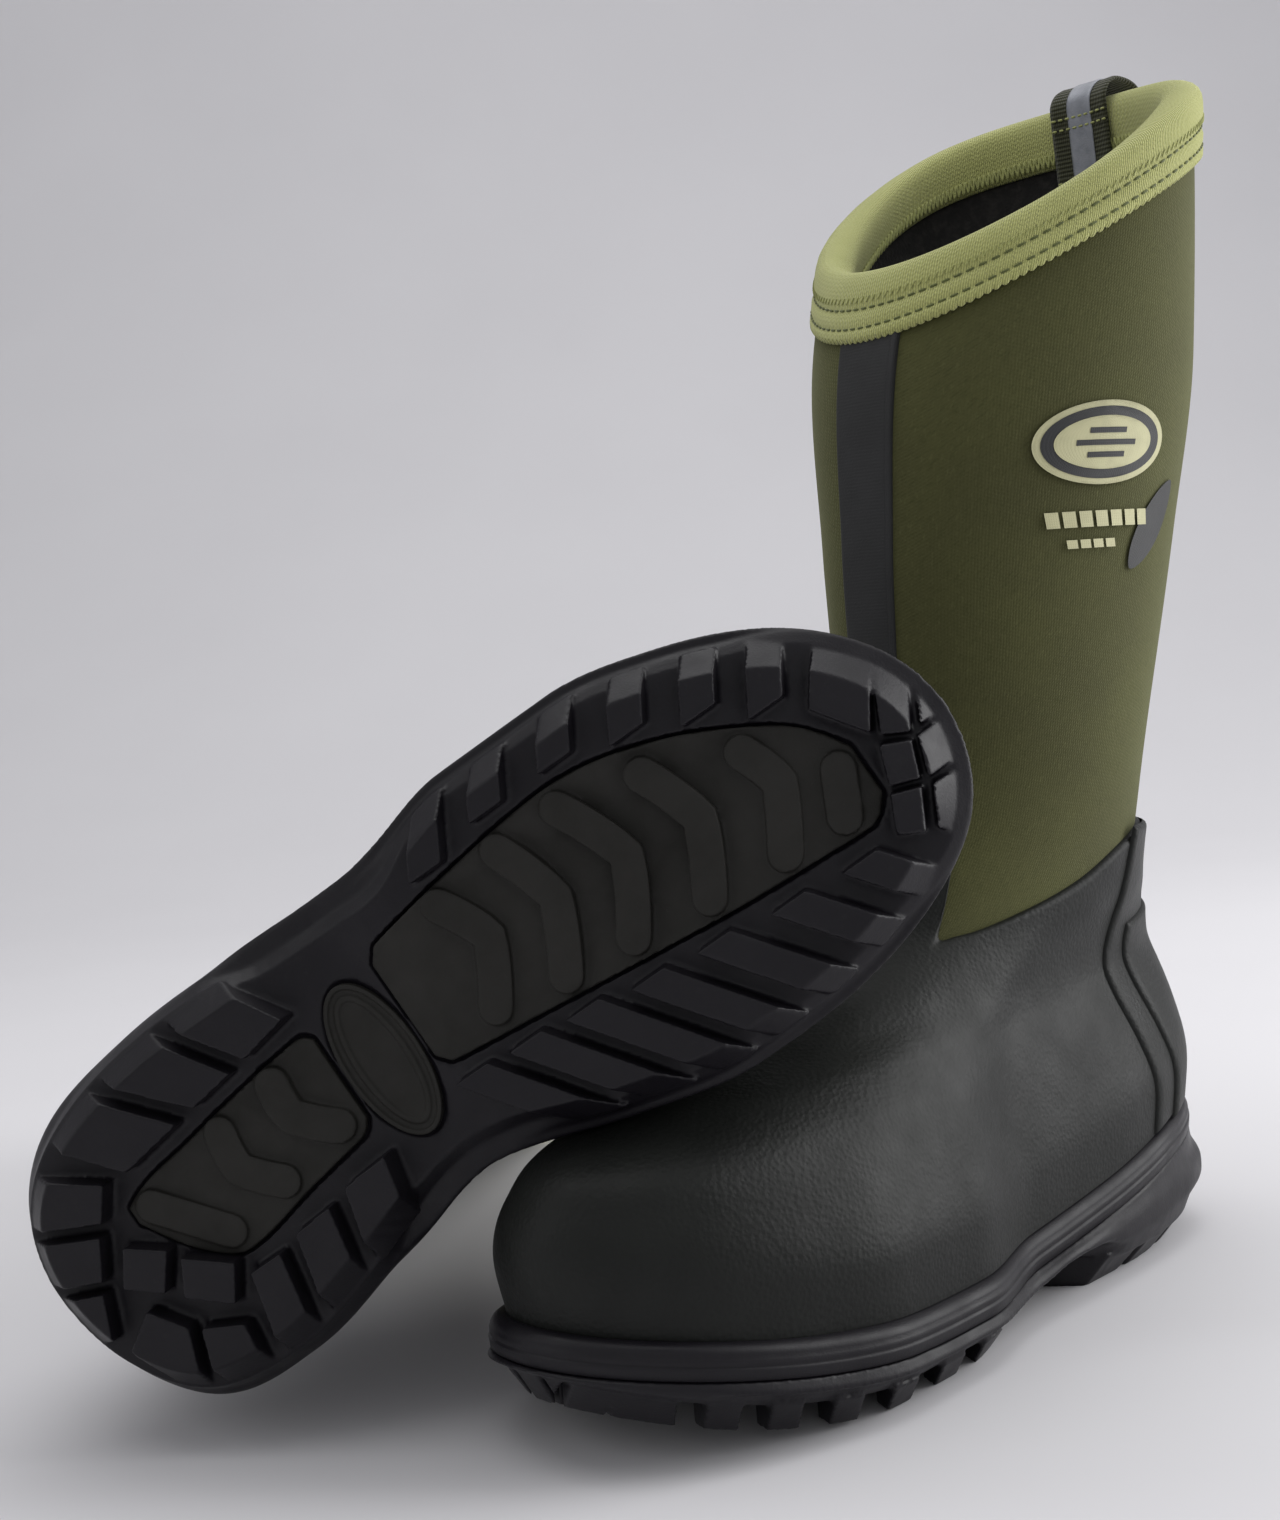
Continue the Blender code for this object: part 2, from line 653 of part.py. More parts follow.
def grid_plate(angles, rows, near, far):
    """Plate on the shared rows and columns, between two distances from the outer face."""
    grids = []
    for proud in (far, near):
        grid = []
        for row in rows:
            if row == 0:
                grid.append([hem_point(a, proud) for a in angles])
            else:
                grid.append([skin(a, grid_level(row, a), proud) for a in angles])
        grids.append(grid)
    return patch(*grids)


def window(rows):
    """Solid that reaches through every layer of the upper, over rows of (angle, level) places."""
    near = [[skin(angle, level, -CUT_DEPTH) for angle, level in row] for row in rows]
    far = [[skin(angle, level, 3 * CUT_DEPTH) for angle, level in row] for row in rows]
    return patch(far, near)


def trim(boot, piece, name, rows, operation):
    """Cut a plate to a window, or cut the window out of it."""
    cutter = boot.add(name, *window(rows), None, cutter=True)
    combine(piece, cutter, operation)
    return piece


def make_bootie(boot):
    outer = [grid_ring(row, 0.0) for row in range(ROWS)]
    floor = [skin(a, FEATHER_LEVEL + NEOPRENE, -NEOPRENE) for a in ring_angles()]
    inner = [floor] + [grid_ring(row, -NEOPRENE) for row in range(1, ROWS)]
    return boot.add("neoprene_bootie", *sleeve(outer, inner, floor=True), "neoprene")


def make_lining(boot):
    deep = LINING_DEPTH + LINING
    low = FEATHER_LEVEL + NEOPRENE + GAP
    outer = [[skin(a, low, -LINING_DEPTH) for a in ring_angles()]]
    inner = [[skin(a, low + LINING, -deep) for a in ring_angles()]]
    outer += [grid_ring(row, -LINING_DEPTH) for row in range(1, ROWS)]
    inner += [grid_ring(row, -deep) for row in range(1, ROWS)]
    return boot.add("lining", *sleeve(outer, inner, floor=True), "lining")


def make_footbed(boot):
    low = FEATHER_LEVEL + NEOPRENE + 2 * GAP + LINING
    depth = -(LINING_DEPTH + LINING + FOOTBED_INSET)
    rings = [[skin(a, level, depth) for a in ring_angles()] for level in (low, low + FOOTBED)]
    tip = rings[0][SIDE_STEPS]
    hinge_at = np.array((tip[0] + GAP, 0, tip[2]))
    hinge = bpy.data.objects.new(boot.name + "_footbed_hinge", None)
    boot.parts.objects.link(hinge)
    hinge.parent = boot.empty
    hinge.location = [v * MM for v in hinge_at]
    points, faces = stack([[p - hinge_at for p in ring] for ring in rings])
    footbed = boot.add("footbed", points, faces, "foam")
    footbed.parent = hinge
    return footbed


def make_foot_cover(boot):
    rings = []
    for proud in (GAP + RUBBER, GAP):
        hem = [hem_point(a, proud) for a in ring_angles()]
        rings.append([hem] + [grid_ring(row, proud) for row in range(1, COLLAR_ROW + 1)])
    return boot.add("foot_cover", *sleeve(*rings), "foot_rubber")


def make_toe_puff(boot):
    deep = NEOPRENE + GAP * 0.75
    plate = grid_plate(grid_columns(0, 4), (2, 3, 4), -deep - STIFFENER, -deep)
    return boot.add("toe_puff", *plate, "stiffener")


def make_heel_stiffener(boot):
    deep = NEOPRENE + GAP * 0.75
    plate = grid_plate(grid_columns(180, 3), (2, 3, 4, 5), -deep - STIFFENER, -deep)
    return boot.add("heel_stiffener", *plate, "stiffener")


def back_row(sweep, level):
    """Places across the back of the boot, within a sweep of its middle."""
    angles = [180 - sweep + 2 * sweep * i / 8 for i in range(9)]
    return [(a if a <= 180 else a - 360, level) for a in angles]


def heel_layer(boot, name, sweeps, top, near, reach, rows):
    """One moulded layer wrapped round the heel, narrower towards its top."""
    plate = grid_plate(grid_columns(180, reach), rows, near, near + COUNTER)
    layer = boot.add(name, *plate, "foot_rubber")
    low = FEATHER_LEVEL - 8
    places = []
    for share in (0, 0.25, 0.5, 0.75, 1):
        sweep = sweeps[0] + (sweeps[1] - sweeps[0]) * max(0, share - 0.1) / 0.9
        places.append(back_row(sweep, low + share * (top - low)))
    return trim(boot, layer, name + "_outline", places, "INTERSECT")


def make_back_stay(boot):
    """Rubber strip up the back seam, from the foot cover to shin height."""
    plate = grid_plate(grid_columns(180, 1), range(COLLAR_ROW, HEM_ROW - 1), GAP, GAP + STAY)
    stay = boot.add("back_stay", *plate, "foot_rubber")
    sweep = width_to_angle(STAY_WIDTH, TONGUE_TOP) / 2
    low = collar_level(180) + GAP
    rows = [back_row(sweep * narrow, low + share * (TONGUE_TOP - low))
            for share, narrow in ((0, 1), (0.4, 1), (0.8, 1), (1, 0.8))]
    return trim(boot, stay, "stay_outline", rows, "INTERSECT")


def width_to_angle(width, level):
    """Angle at the boot's front or back that spans a width."""
    half = float(curve(level_height(level), LEVELS, HALF_WIDTH)) * BALL_WIDTH / BASE_BALL_WIDTH
    return 2 * np.degrees(np.arcsin(min(0.99, width / 2 / half)))


def make_seam_tape(boot):
    """Flat tape over the shaft's front seam, from the foot cover's tongue to the binding."""
    plate = grid_plate(grid_columns(0, 1), range(COLLAR_ROW, HEM_ROW + 1), GAP, GAP + TAPE)
    tape = boot.add("front_seam_tape", *plate, "tape")
    sweep = width_to_angle(SEAM_TAPE_WIDTH, FRONT_HEIGHT - 60) / 2
    rows = []
    for share in (0, 0.33, 0.67, 1):
        level = TONGUE_TOP + 3 * GAP + share * (FRONT_HEIGHT - TONGUE_TOP)
        rows.append([(sweep * (1 - i / 2), level) for i in range(5)])
    return trim(boot, tape, "tape_outline", rows, "INTERSECT")


def make_binding(boot):
    """Knitted tape folded over the top edge, inside and out."""
    deep = LINING_DEPTH + LINING + 2.5 * GAP
    near = 2 * GAP
    profile = ((-BINDING_DROP, near), (3 * GAP, near), (3 * GAP, -deep), (-BINDING_DROP * 0.8, -deep),
               (-BINDING_DROP * 0.8, -deep - BINDING), (0.8, -deep - BINDING), (3.6, -deep + 1.5), (4.2, -4),
               (3.8, -1.5), (0.5, near + BINDING), (-BINDING_DROP / 2, near + BINDING),
               (-BINDING_DROP, near + BINDING))
    rings = []
    for dz, proud in profile:
        rings.append([skin(a, rim_level(a) + dz, proud) for a in ring_angles()])
    count = len(rings[0])
    points = [p for ring in rings for p in ring]
    starts = [i * count for i in range(len(rings))]
    faces = walls(starts + starts[:1], count)
    return boot.add("top_binding", points, faces, "binding")


def loop_path():
    """Pull loop's path over the back of the rim: height above it and distance out."""
    inside = -(LINING_DEPTH + LINING + BINDING + 5 * GAP)
    outside = 3 * GAP + BINDING
    return ((-LOOP_INSIDE, inside), (-LOOP_INSIDE / 2, inside), (1.5, inside), (6.6, inside + 3.0),
            (8.6, -4.0), (6.6, outside + LOOP_STAND_OFF * 0.3), (-4.0, outside + LOOP_STAND_OFF),
            (-15.0, outside + LOOP_STAND_OFF * 0.9), (-24.0, outside + LOOP_STAND_OFF * 0.35),
            (-30.0, outside), (-LOOP_OUTSIDE, outside))


def band_along(path, width, near, far):
    """Grids of a band that follows a path over the back of the rim."""
    rim = rim_level(180)
    spine = [skin(180, rim + min(dz, 0), 0.0) + np.array((0, 0, max(dz, 0))) for dz, _ in path]
    outward = skin(180, rim, 1.0) - skin(180, rim, 0.0)
    side = np.cross(outward, (0, 0, 1))
    side /= np.linalg.norm(side)
    outward = np.cross((0, 0, 1), side)
    centre = [p + outward * proud for p, (_, proud) in zip(spine, path)]
    rows_near = []
    rows_far = []
    for i, point in enumerate(centre):
        along = centre[min(i + 1, len(centre) - 1)] - centre[max(i - 1, 0)]
        normal = np.cross(along, side)
        normal /= np.linalg.norm(normal)
        if i == 0:
            facing = 1 if normal @ outward < 0 else -1
        normal = normal * facing
        row_near = []
        row_far = []
        for j in range(5):
            offset = (j / 4 - 0.5) * width
            bow = -outward * offset * offset / 110
            row_near.append(point + side * offset + bow + normal * near)
            row_far.append(point + side * offset + bow + normal * far)
        rows_near.append(row_near)
        rows_far.append(row_far)
    return rows_near, rows_far


def make_pull_loop(boot):
    return boot.add("pull_loop", *patch(*band_along(loop_path(), LOOP_WIDTH, 0.0, LOOP_THICKNESS)), "webbing")


def make_reflector(boot):
    near = LOOP_THICKNESS + GAP * 0.75
    grids = band_along(loop_path()[:8], REFLECTOR_WIDTH, near, near + 0.5)
    return boot.add("loop_reflector", *patch(*grids), "reflector")


def make_badge(boot):
    """Oval transfer on the outer side of the shaft."""
    middle = min(COLUMN_ANGLES, key=lambda a: abs(a - BADGE_ANGLE))
    plate = grid_plate(grid_columns(middle, 3), range(COLLAR_ROW + 1, HEM_ROW + 1), GAP, GAP + BADGE)
    badge = boot.add("side_badge", *plate, "print")
    sweep = width_to_angle(BADGE_LENGTH, BADGE_LEVEL) / 2
    rows = []
    for turn in (82, 60, 38, 15, -15, -38, -60, -82):
        level = BADGE_LEVEL + sin(radians(turn)) * BADGE_HEIGHT / 2
        half = sweep * cos(radians(turn))
        rows.append([(BADGE_ANGLE + half * (1 - i / 2), level) for i in range(5)])
    return trim(boot, badge, "badge_outline", rows, "INTERSECT")


# ---------------------------------------------------------------- assembly

def make_boot(boot):
    make_outsole(boot)
    make_insert(boot, "forefoot_insert", FOREFOOT_INSERT, FOREFOOT_PADS)
    make_insert(boot, "heel_insert", HEEL_INSERT, HEEL_PADS)
    make_boss(boot)
    make_rand(boot)
    make_midsole(boot)
    boot.add("shank", *shank_bar(0.0), "steel")
    make_board(boot)
    make_bootie(boot)
    make_lining(boot)
    make_footbed(boot)
    make_foot_cover(boot)
    make_toe_puff(boot)
    make_heel_stiffener(boot)
    heel_layer(boot, "heel_counter", (51, 63), COUNTER_TOP - 1, 2 * GAP + RUBBER, 4, range(COLLAR_ROW + 1))
    heel_layer(boot, "heel_guard", (43, 51), GUARD_TOP, 3 * GAP + RUBBER + COUNTER, 3,
               range(len(FOOT_LEVELS)))
    make_back_stay(boot)
    make_seam_tape(boot)
    make_binding(boot)
    make_pull_loop(boot)
    make_reflector(boot)
    make_badge(boot)


def world_mesh(boot, names):
    """World points and triangles of some of a boot's finished objects."""
    graph = bpy.context.evaluated_depsgraph_get()
    points = []
    faces = []
    for name in names:
        obj = bpy.data.objects[boot.name + "_" + name].evaluated_get(graph)
        mesh = obj.to_mesh()
        offset = len(points)
        points += [obj.matrix_world @ v.co for v in mesh.vertices]
        faces += [[i + offset for i in face.vertices] for face in mesh.polygons]
        obj.to_mesh_clear()
    return points, faces


def settle(left, right):
    """Stand the right boot on the floor and slide it along until its ball rests on the left foot."""
    names = ("outsole", "rand", "foot_cover", "heel_counter", "heel_guard", "neoprene_bootie",
             "back_stay", "top_binding", "pull_loop")
    bpy.context.view_layer.update()
    points, faces = world_mesh(right, names)
    drop = min(p.z for p in points)
    right.empty.location.z -= drop
    points = [p - Vector((0, 0, drop)) for p in points]
    fixed = BVHTree.FromPolygons(*world_mesh(left, names))
    near, far = -40.0, 40.0
    for _ in range(14):
        middle = (near + far) / 2
        shifted = [p + Vector((middle * MM, 0, 0)) for p in points]
        if fixed.overlap(BVHTree.FromPolygons(shifted, faces)):
            far = middle
        else:
            near = middle
    right.empty.location.x += (near - REST_GAP) * MM


def centre_pair(boots, names):
    """Put the frame's origin under the middle of the pair, on the floor."""
    bpy.context.view_layer.update()
    points = [p for boot in boots for p in world_mesh(boot, names)[0]]
    low = Vector([min(p[i] for p in points) for i in range(3)])
    high = Vector([max(p[i] for p in points) for i in range(3)])
    shift = Vector(((low.x + high.x) / 2, (low.y + high.y) / 2, low.z))
    for boot in boots:
        boot.empty.location -= shift
    bpy.context.view_layer.update()


def main():
    for obj in list(bpy.data.objects):
        bpy.data.objects.remove(obj)
    parts = bpy.data.collections.new("insulated_hunting_boots")
    cutters = bpy.data.collections.new("cutters")
    bpy.context.scene.collection.children.link(parts)
    bpy.context.scene.collection.children.link(cutters)
    left = Boot("left", 1, parts, cutters)
    right = Boot("right", -1, parts, cutters)
    for boot in (left, right):
        make_boot(boot)
    left.empty.rotation_euler = (0, 0, radians(LEFT_HEADING))
    right.empty.rotation_euler = (radians(RIGHT_ROLL), radians(-RIGHT_TOE_LIFT), radians(RIGHT_HEADING))
    right.empty.location = [v * MM for v in RIGHT_OFFSET]
    settle(left, right)
    centre_pair((left, right), ("outsole", "foot_cover", "neoprene_bootie", "top_binding", "pull_loop",
                                "loop_reflector", "heel_guard"))


main()
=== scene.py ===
"""Looks of the insulated hunting boots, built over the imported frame.

Each boot is shaped in its own frame, in millimetres: X from the heel to the toe, Y to the boot's
outer side, Z up from the tread. The right boot mirrors the left. Places on the upper are given
by an angle round it from the front, in degrees, and a level, the height of its back.
"""
import json
from math import cos, pi, radians, sin

import bmesh
import bpy
import numpy as np
from mathutils import Euler, Matrix, Vector


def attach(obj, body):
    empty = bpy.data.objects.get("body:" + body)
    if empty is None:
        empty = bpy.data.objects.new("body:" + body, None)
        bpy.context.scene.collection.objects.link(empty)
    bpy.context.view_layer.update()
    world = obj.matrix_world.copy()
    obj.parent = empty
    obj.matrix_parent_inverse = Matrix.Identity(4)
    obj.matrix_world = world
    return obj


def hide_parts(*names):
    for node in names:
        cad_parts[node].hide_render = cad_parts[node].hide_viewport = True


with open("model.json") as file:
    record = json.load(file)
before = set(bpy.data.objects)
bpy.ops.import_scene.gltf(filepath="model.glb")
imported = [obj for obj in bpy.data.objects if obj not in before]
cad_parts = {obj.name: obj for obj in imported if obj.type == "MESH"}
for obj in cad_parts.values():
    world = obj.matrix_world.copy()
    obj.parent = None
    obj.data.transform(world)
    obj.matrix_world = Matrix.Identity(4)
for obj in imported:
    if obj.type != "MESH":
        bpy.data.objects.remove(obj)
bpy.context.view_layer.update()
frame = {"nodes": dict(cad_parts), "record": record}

MM = 0.001
GAP = 0.4
RUBBER = 2.2
NEOPRENE = 4.5
LINING = 1.8
LINING_DEPTH = 6.1
COUNTER = 1.2
FOOTBED_INSET = 3.4
SOLE_LENGTH = 315.0
FRONT_HEIGHT = 338.0
BACK_HEIGHT = 405.0
RIM_SIDE_RISE = 9.6
LUG_WIDTH = 11.5
TREAD_INSET = 10.9
TOE_SPRING = 18.7
SPRING_START = 215.0
RAND_HEIGHT = 10.0
FEATHER_LEVEL = 50.0
COLLAR_LOW = 129.0
TONGUE_TOP = 203.0
COUNTER_TOP = 148.0
GUARD_TOP = 118.0
BINDING_DROP = 21.2
LOOP_WIDTH = 25.0
LOOP_THICKNESS = 1.5
LOOP_STAND_OFF = 10.0
BADGE_LEVEL = 278.0
BADGE_ANGLE = 77.0

LEFT_TURN = Euler((0, 0, radians(-127.8)))
RIGHT_TURN = Euler((radians(-90.9), radians(-31.1), radians(-5.2)))

SOLE_LATERAL = ((0, 2), (0.11, 30), (0.22, 47), (0.34, 53.5), (0.47, 52), (0.56, 61), (0.64, 61),
                (0.72, 54), (0.8, 42), (0.89, 22.5), (1, -5))
SOLE_MEDIAL = ((0, 2), (0.09, -27), (0.18, -49), (0.28, -55), (0.37, -47), (0.45, -38),
               (0.54, -50.5), (0.62, -58), (0.7, -56.5), (0.8, -47), (0.87, -36), (1, -5))
FEATHER_HEIGHT = ((0, 50), (50, 44), (100, 35), (150, 28.5), (200, 27), (250, 30), (290, 36.5),
                  (315, 41))
BASE_HEIGHT = ((0, 8), (92, 8), (112, 12), (128, 13), (146, 9), (158, 8), (315, 8))
LEVELS = (50, 66, 82, 98, 108, 116, 123, 131, 142, 165, 190, 250, 310, 370, 412)
BACK_X = (8, 4.5, 5, 8, 11, 13.5, 16, 18, 19, 15, 9.2, -4.4, -15.2, -13, -9)
FRONT_X = (306, 309.5, 306, 292, 265, 230, 198, 170, 152, 139, 134.6, 132.4, 126.8, 105, 92)
FRONT_Z = (41, 57, 72, 84, 91, 98, 108, 122, 142, 165, 190, 250, 310, 370, 412)
HALF_WIDTH = (52.5, 53, 49, 43, 38, 36.5, 37.5, 40, 43, 45.5, 48.1, 55.1, 62.7, 65.8, 66.5)
ROUND_SHARE = (0, 0, 0.1, 0.3, 0.5, 0.7, 0.85, 1, 1, 1, 1, 1, 1, 1, 1)
CENTRE_Y = (0, 0, 0, 0, 0, -0.3, -0.6, -0.8, -0.5, 0.1, 0.7, 2.2, 3.7, 5.2, 6.2)
TURN = (0, 0, 0, 0, -1, -3, -5, -7.3, -7.3, -7.3, -7.3, -7.3, -7.3, -7.3, -7.3)
FEATHER_SHARE = (1, 0.95, 0.8, 0.5, 0.25, 0.1, 0, 0, 0, 0, 0, 0, 0, 0, 0)
COLLAR = ((0, 1), (18, 0.99), (26, 0.88), (33, 0.6), (40, 0.28), (47, 0.05), (55, 0.02), (75, 0.05),
          (93, 0.1), (115, 0.2), (150, 0.27), (180, 0.28))

LATERAL_LUGS = ((165, 39), (189, 43), (213, 43), (234, 38), (253, 31), (269, 22))
MEDIAL_LUGS = ((143, -14), (161, -15), (180, -17), (200, -20), (221, -22), (244, -25), (266, -27))
TOE_LUGS = (((284, 15), (294, 0), (312, 27), (302, 40)),
            ((296, -2), (303, -6), (311, 8), (307, 20)), ((306, -6), (322, -6), (322, 16), (313, 8)),
            ((294, -4), (302, -8), (298, -18), (290, -15)),
            ((304, -8), (322, -8), (322, -20), (300, -19)),
            ((289, -17), (297, -20), (291, -31), (284, -27)),
            ((300, -21), (318, -24), (302, -46), (294, -32)))
HEEL_LUGS = (((70, 62), (96, 26), (112, 29), (92, 62)), ((42, 58), (75, 23), (90, 25), (66, 60)),
             ((20, 50), (47, 19), (68, 22), (38, 56)), ((8, 42), (39, 20), (32, 11), (0, 26)),
             ((0, 22), (29, 8), (22, -3), (-4, 8)), ((-4, 4), (20, -6), (14, -19), (-4, -16)),
             ((33, 2), (44, -6), (36, -16), (26, -8)), ((17, -24), (28, -17), (36, -28), (24, -58)),
             ((46, -10), (59, -20), (52, -30), (40, -20)), ((39, -30), (51, -36), (47, -64), (28, -60)),
             ((61, -25), (72, -25), (64, -66), (51, -64)), ((79, -23), (92, -22), (84, -62), (68, -66)),
             ((99, -20), (114, -19), (106, -54), (88, -58)))
FOREFOOT_INSERT = ((140, -8, 31), (176, -12, 36.5), (211, -16, 39.5), (240, -19, 34), (262, -20.5, 24),
                   (280, -21.5, 11), (287, -17, 2))
HEEL_INSERT = ((38, 4, 11), (48, -10, 14), (62, -19.5, 16), (88, -15, 20), (112, -11, 23))
FOREFOOT_PADS = (((167, 30), (177, 15), (164, -3)), ((190, 33), (199, 13), (186, -7)),
                 ((211, 33), (223, 11), (208, -9)), ((236, 27), (245, 8), (232, -12)),
                 ((262, 16), (268, 4), (256, -14)), ((281, -3), (275, -15)))
HEEL_PADS = (((45, 7), (61, -12)), ((75, 13), (72, 1), (83, -9)), ((96, 16), (94, 5), (105, -5)))
BOSS = (126, 3.5, 12, 25)

FLOOR_DEPTH = 1.0
FLOOR_CURVE = 1.5
FLOOR_REACH = 16.0

# Levels where the shaft and the lining start, and half sweeps of the narrow strips, in degrees
SHAFT_LOW = 100.0
LINING_LOW = 58.5
STAY_SWEEP = 12.5
TAPE_SWEEP = 11.3
RECESS_GAP = 0.9

# Points, stitches and overlock loops round the rim
RIM_COLUMNS = 640
RIM_STITCHES = 112
RIM_LOOPS = 170

# Camera: direction in degrees, roll in radians, distance in metres, and its aim from the left heel
CAMERA_AZIMUTH = 3.264
CAMERA_ELEVATION = 3.95
CAMERA_ROLL = -0.077
CAMERA_DISTANCE = 0.7178
CAMERA_AIM = (-0.1508, -0.1013, 0.1804)
LENS = 51.0
LENS_SHIFT = (-0.0297, 0.0077)


# ---- curves and surfaces

def curve(value, points):
    """Smooth curve through (place, height) points, level beyond its ends."""
    x, y = np.array(points, float).T
    slopes = np.gradient(y, x)
    steps = np.diff(y) / np.diff(x)
    inner = slopes[1:-1]
    inner[steps[:-1] * steps[1:] <= 0] = 0
    value = np.clip(value, x[0], x[-1])
    i = np.clip(np.searchsorted(x, value) - 1, 0, len(x) - 2)
    width = x[i + 1] - x[i]
    t = (value - x[i]) / width
    return (y[i] * (1 + 2 * t) * (1 - t) ** 2 + slopes[i] * width * t * (1 - t) ** 2
            + y[i + 1] * t * t * (3 - 2 * t) - slopes[i + 1] * width * t * t * (1 - t))


def by_level(level, heights):
    return curve(level, list(zip(LEVELS, heights)))


def feather(x):
    """Height of the line where the upper meets the sole."""
    return curve(x, FEATHER_HEIGHT)


def spring(x):
    """Rise of the tread towards the toe."""
    share = (np.asarray(x, float) - SPRING_START) / (0.3 * SOLE_LENGTH)
    return TOE_SPRING * np.clip(share, 0, 1.05) ** 2


def base(x):
    """Height of the sole's underside between the lugs."""
    return curve(x, BASE_HEIGHT) + spring(x)


def sole_top(x):
    return feather(x) - RAND_HEIGHT - GAP


def smooth_step(low, high, value):
    t = np.clip((np.asarray(value, float) - low) / (high - low), 0, 1)
    return t * t * (3 - 2 * t)


def outline(turn):
    """Sole outline at turns 0 to 2: heel tip, outer side, toe tip at 1, and back inside."""
    turn = np.asarray(turn, float) % 2
    share = np.where(turn <= 1, turn, 2 - turn)
    y = np.where(turn <= 1, curve(share, SOLE_LATERAL), curve(share, SOLE_MEDIAL))
    return np.stack([SOLE_LENGTH * (1 - np.cos(pi * share)) / 2, y], -1)


def plan_ring(inset, count=220):
    """Points of the sole outline moved inwards by inset, a number or one for each point."""
    turn = np.arange(count) / count * 2
    tangent = outline(turn + 0.012) - outline(turn - 0.012)
    tangent /= np.linalg.norm(tangent, axis=1)[:, None]
    inward = np.stack([tangent[:, 1], -tangent[:, 0]], -1)
    return outline(turn) + inward * np.broadcast_to(inset, count)[:, None]


def section(angle, level):
    """Points of the shaft's outer face."""
    angle, level = np.broadcast_arrays(np.asarray(angle, float), np.asarray(level, float))
    angle = (angle + 180) % 360 - 180
    share = 1 - np.abs(angle) / 180
    back, front = by_level(level, BACK_X), by_level(level, FRONT_X)
    half, roundness = by_level(level, HALF_WIDTH), by_level(level, ROUND_SHARE)
    x = back + (front - back) * (1 - np.cos(pi * share)) / 2
    foot = np.where(angle >= 0, curve(share, SOLE_LATERAL), curve(share, SOLE_MEDIAL)) * half / 60
    oval = half * np.sin(pi * share) * np.where(angle >= 0, 1, -1)
    y = foot * (1 - roundness) + oval * roundness + by_level(level, CENTRE_Y)
    front_z = by_level(level, FRONT_Z) + level - np.clip(level, LEVELS[0], LEVELS[-1])
    z = level + (front_z - level) * (x - back) / (front - back)
    start = LEVELS[0] + (FRONT_Z[0] - LEVELS[0]) * (x - back) / (front - back)
    z = z + by_level(level, FEATHER_SHARE) * (feather(x) - start)
    turn = np.radians(by_level(level, TURN))
    middle = (back + front) / 2
    dx = x - middle
    turned_x = middle + dx * np.cos(turn) - y * np.sin(turn)
    return np.stack([turned_x, dx * np.sin(turn) + y * np.cos(turn), z], -1)


def skin(angle, level, proud=0.0):
    """Points of the outer face, moved outwards along its normal by proud."""
    across = section(np.asarray(angle) + 2.0, level) - section(np.asarray(angle) - 2.0, level)
    upwards = section(angle, np.asarray(level) + 2.0) - section(angle, np.asarray(level) - 2.0)
    normal = np.cross(across, upwards)
    normal /= np.linalg.norm(normal, axis=-1)[..., None]
    return section(angle, level) + normal * np.asarray(proud)[..., None]


def rim_level(angle):
    """Level of the shaft's top edge."""
    slope = (BACK_HEIGHT - FRONT_HEIGHT) / 2 * np.cos(np.radians(angle))
    side_rise = RIM_SIDE_RISE * (1 - np.cos(np.radians(2 * np.asarray(angle)))) / 2
    return (FRONT_HEIGHT + BACK_HEIGHT) / 2 - slope + side_rise


def collar_level(angle):
    """Level of the foot cover's top edge, high on the shin and low beside it."""
    return COLLAR_LOW + (TONGUE_TOP - COLLAR_LOW) * curve(np.abs(angle), COLLAR)


def around(count):
    """Angles of a whole turn, without its last point."""
    return 180 - 360 * np.arange(count) / count


# ---- placing and meshing

def placements():
    """World matrix of each boot's own frame, in metres, found from its footbed's hinge."""
    low = FEATHER_LEVEL + NEOPRENE + 2 * GAP + LINING
    tip = skin(0.0, low, -(LINING_DEPTH + LINING + FOOTBED_INSET))
    hinge = Vector(((tip[0] + GAP) * MM, 0, tip[2] * MM))
    found = {}
    for joint in frame["record"]["behaviour"]["joints"]:
        for side, turn in (("left", LEFT_TURN), ("right", RIGHT_TURN)):
            if joint["name"] == side + "_footbed_lift":
                turned = turn.to_matrix().to_4x4()
                place = Vector(joint["pos_m"]) - turned.to_3x3() @ hinge
                found[side] = Matrix.Translation(place) @ turned
    return found


PLACES = placements()


def add_piece(name, points, faces, material, stands_for=(), slot=None, uv=None):
    """Make one piece on both boots. uv holds a place for each point, in millimetres."""
    made = []
    for side, flip in (("left", 1), ("right", -1)):
        mesh = bpy.data.meshes.new(side + "_" + name)
        corners = np.asarray(points, float) * MM * (1, flip, 1)
        mesh.from_pydata(corners.tolist(), [], faces)
        if uv is not None:
            layer = mesh.uv_layers.new(name="skin")
            loops = np.zeros(len(mesh.loops), int)
            mesh.loops.foreach_get("vertex_index", loops)
            layer.data.foreach_set("uv", np.asarray(uv, float)[loops].ravel())
        if flip < 0:
            mesh.flip_normals()
        mesh.shade_smooth()
        obj = bpy.data.objects.new(side + "_" + name, mesh)
        bpy.context.scene.collection.objects.link(obj)
        obj.data.materials.append(material)
        obj.matrix_world = PLACES[side]
        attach(obj, side + "_boot")
        if stands_for:
            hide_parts(*[side + "_" + node for node in stands_for])
        made.append(obj)
    return made


def grid_faces(rows, columns, closed):
    """Faces of a grid of points, closed or open across its columns."""
    i, j = np.mgrid[0:rows - 1, 0:columns if closed else columns - 1]
    k = (j + 1) % columns
    quads = np.stack([i * columns + j, i * columns + k, (i + 1) * columns + k, (i + 1) * columns + j], -1)
    return quads.reshape(-1, 4).tolist()


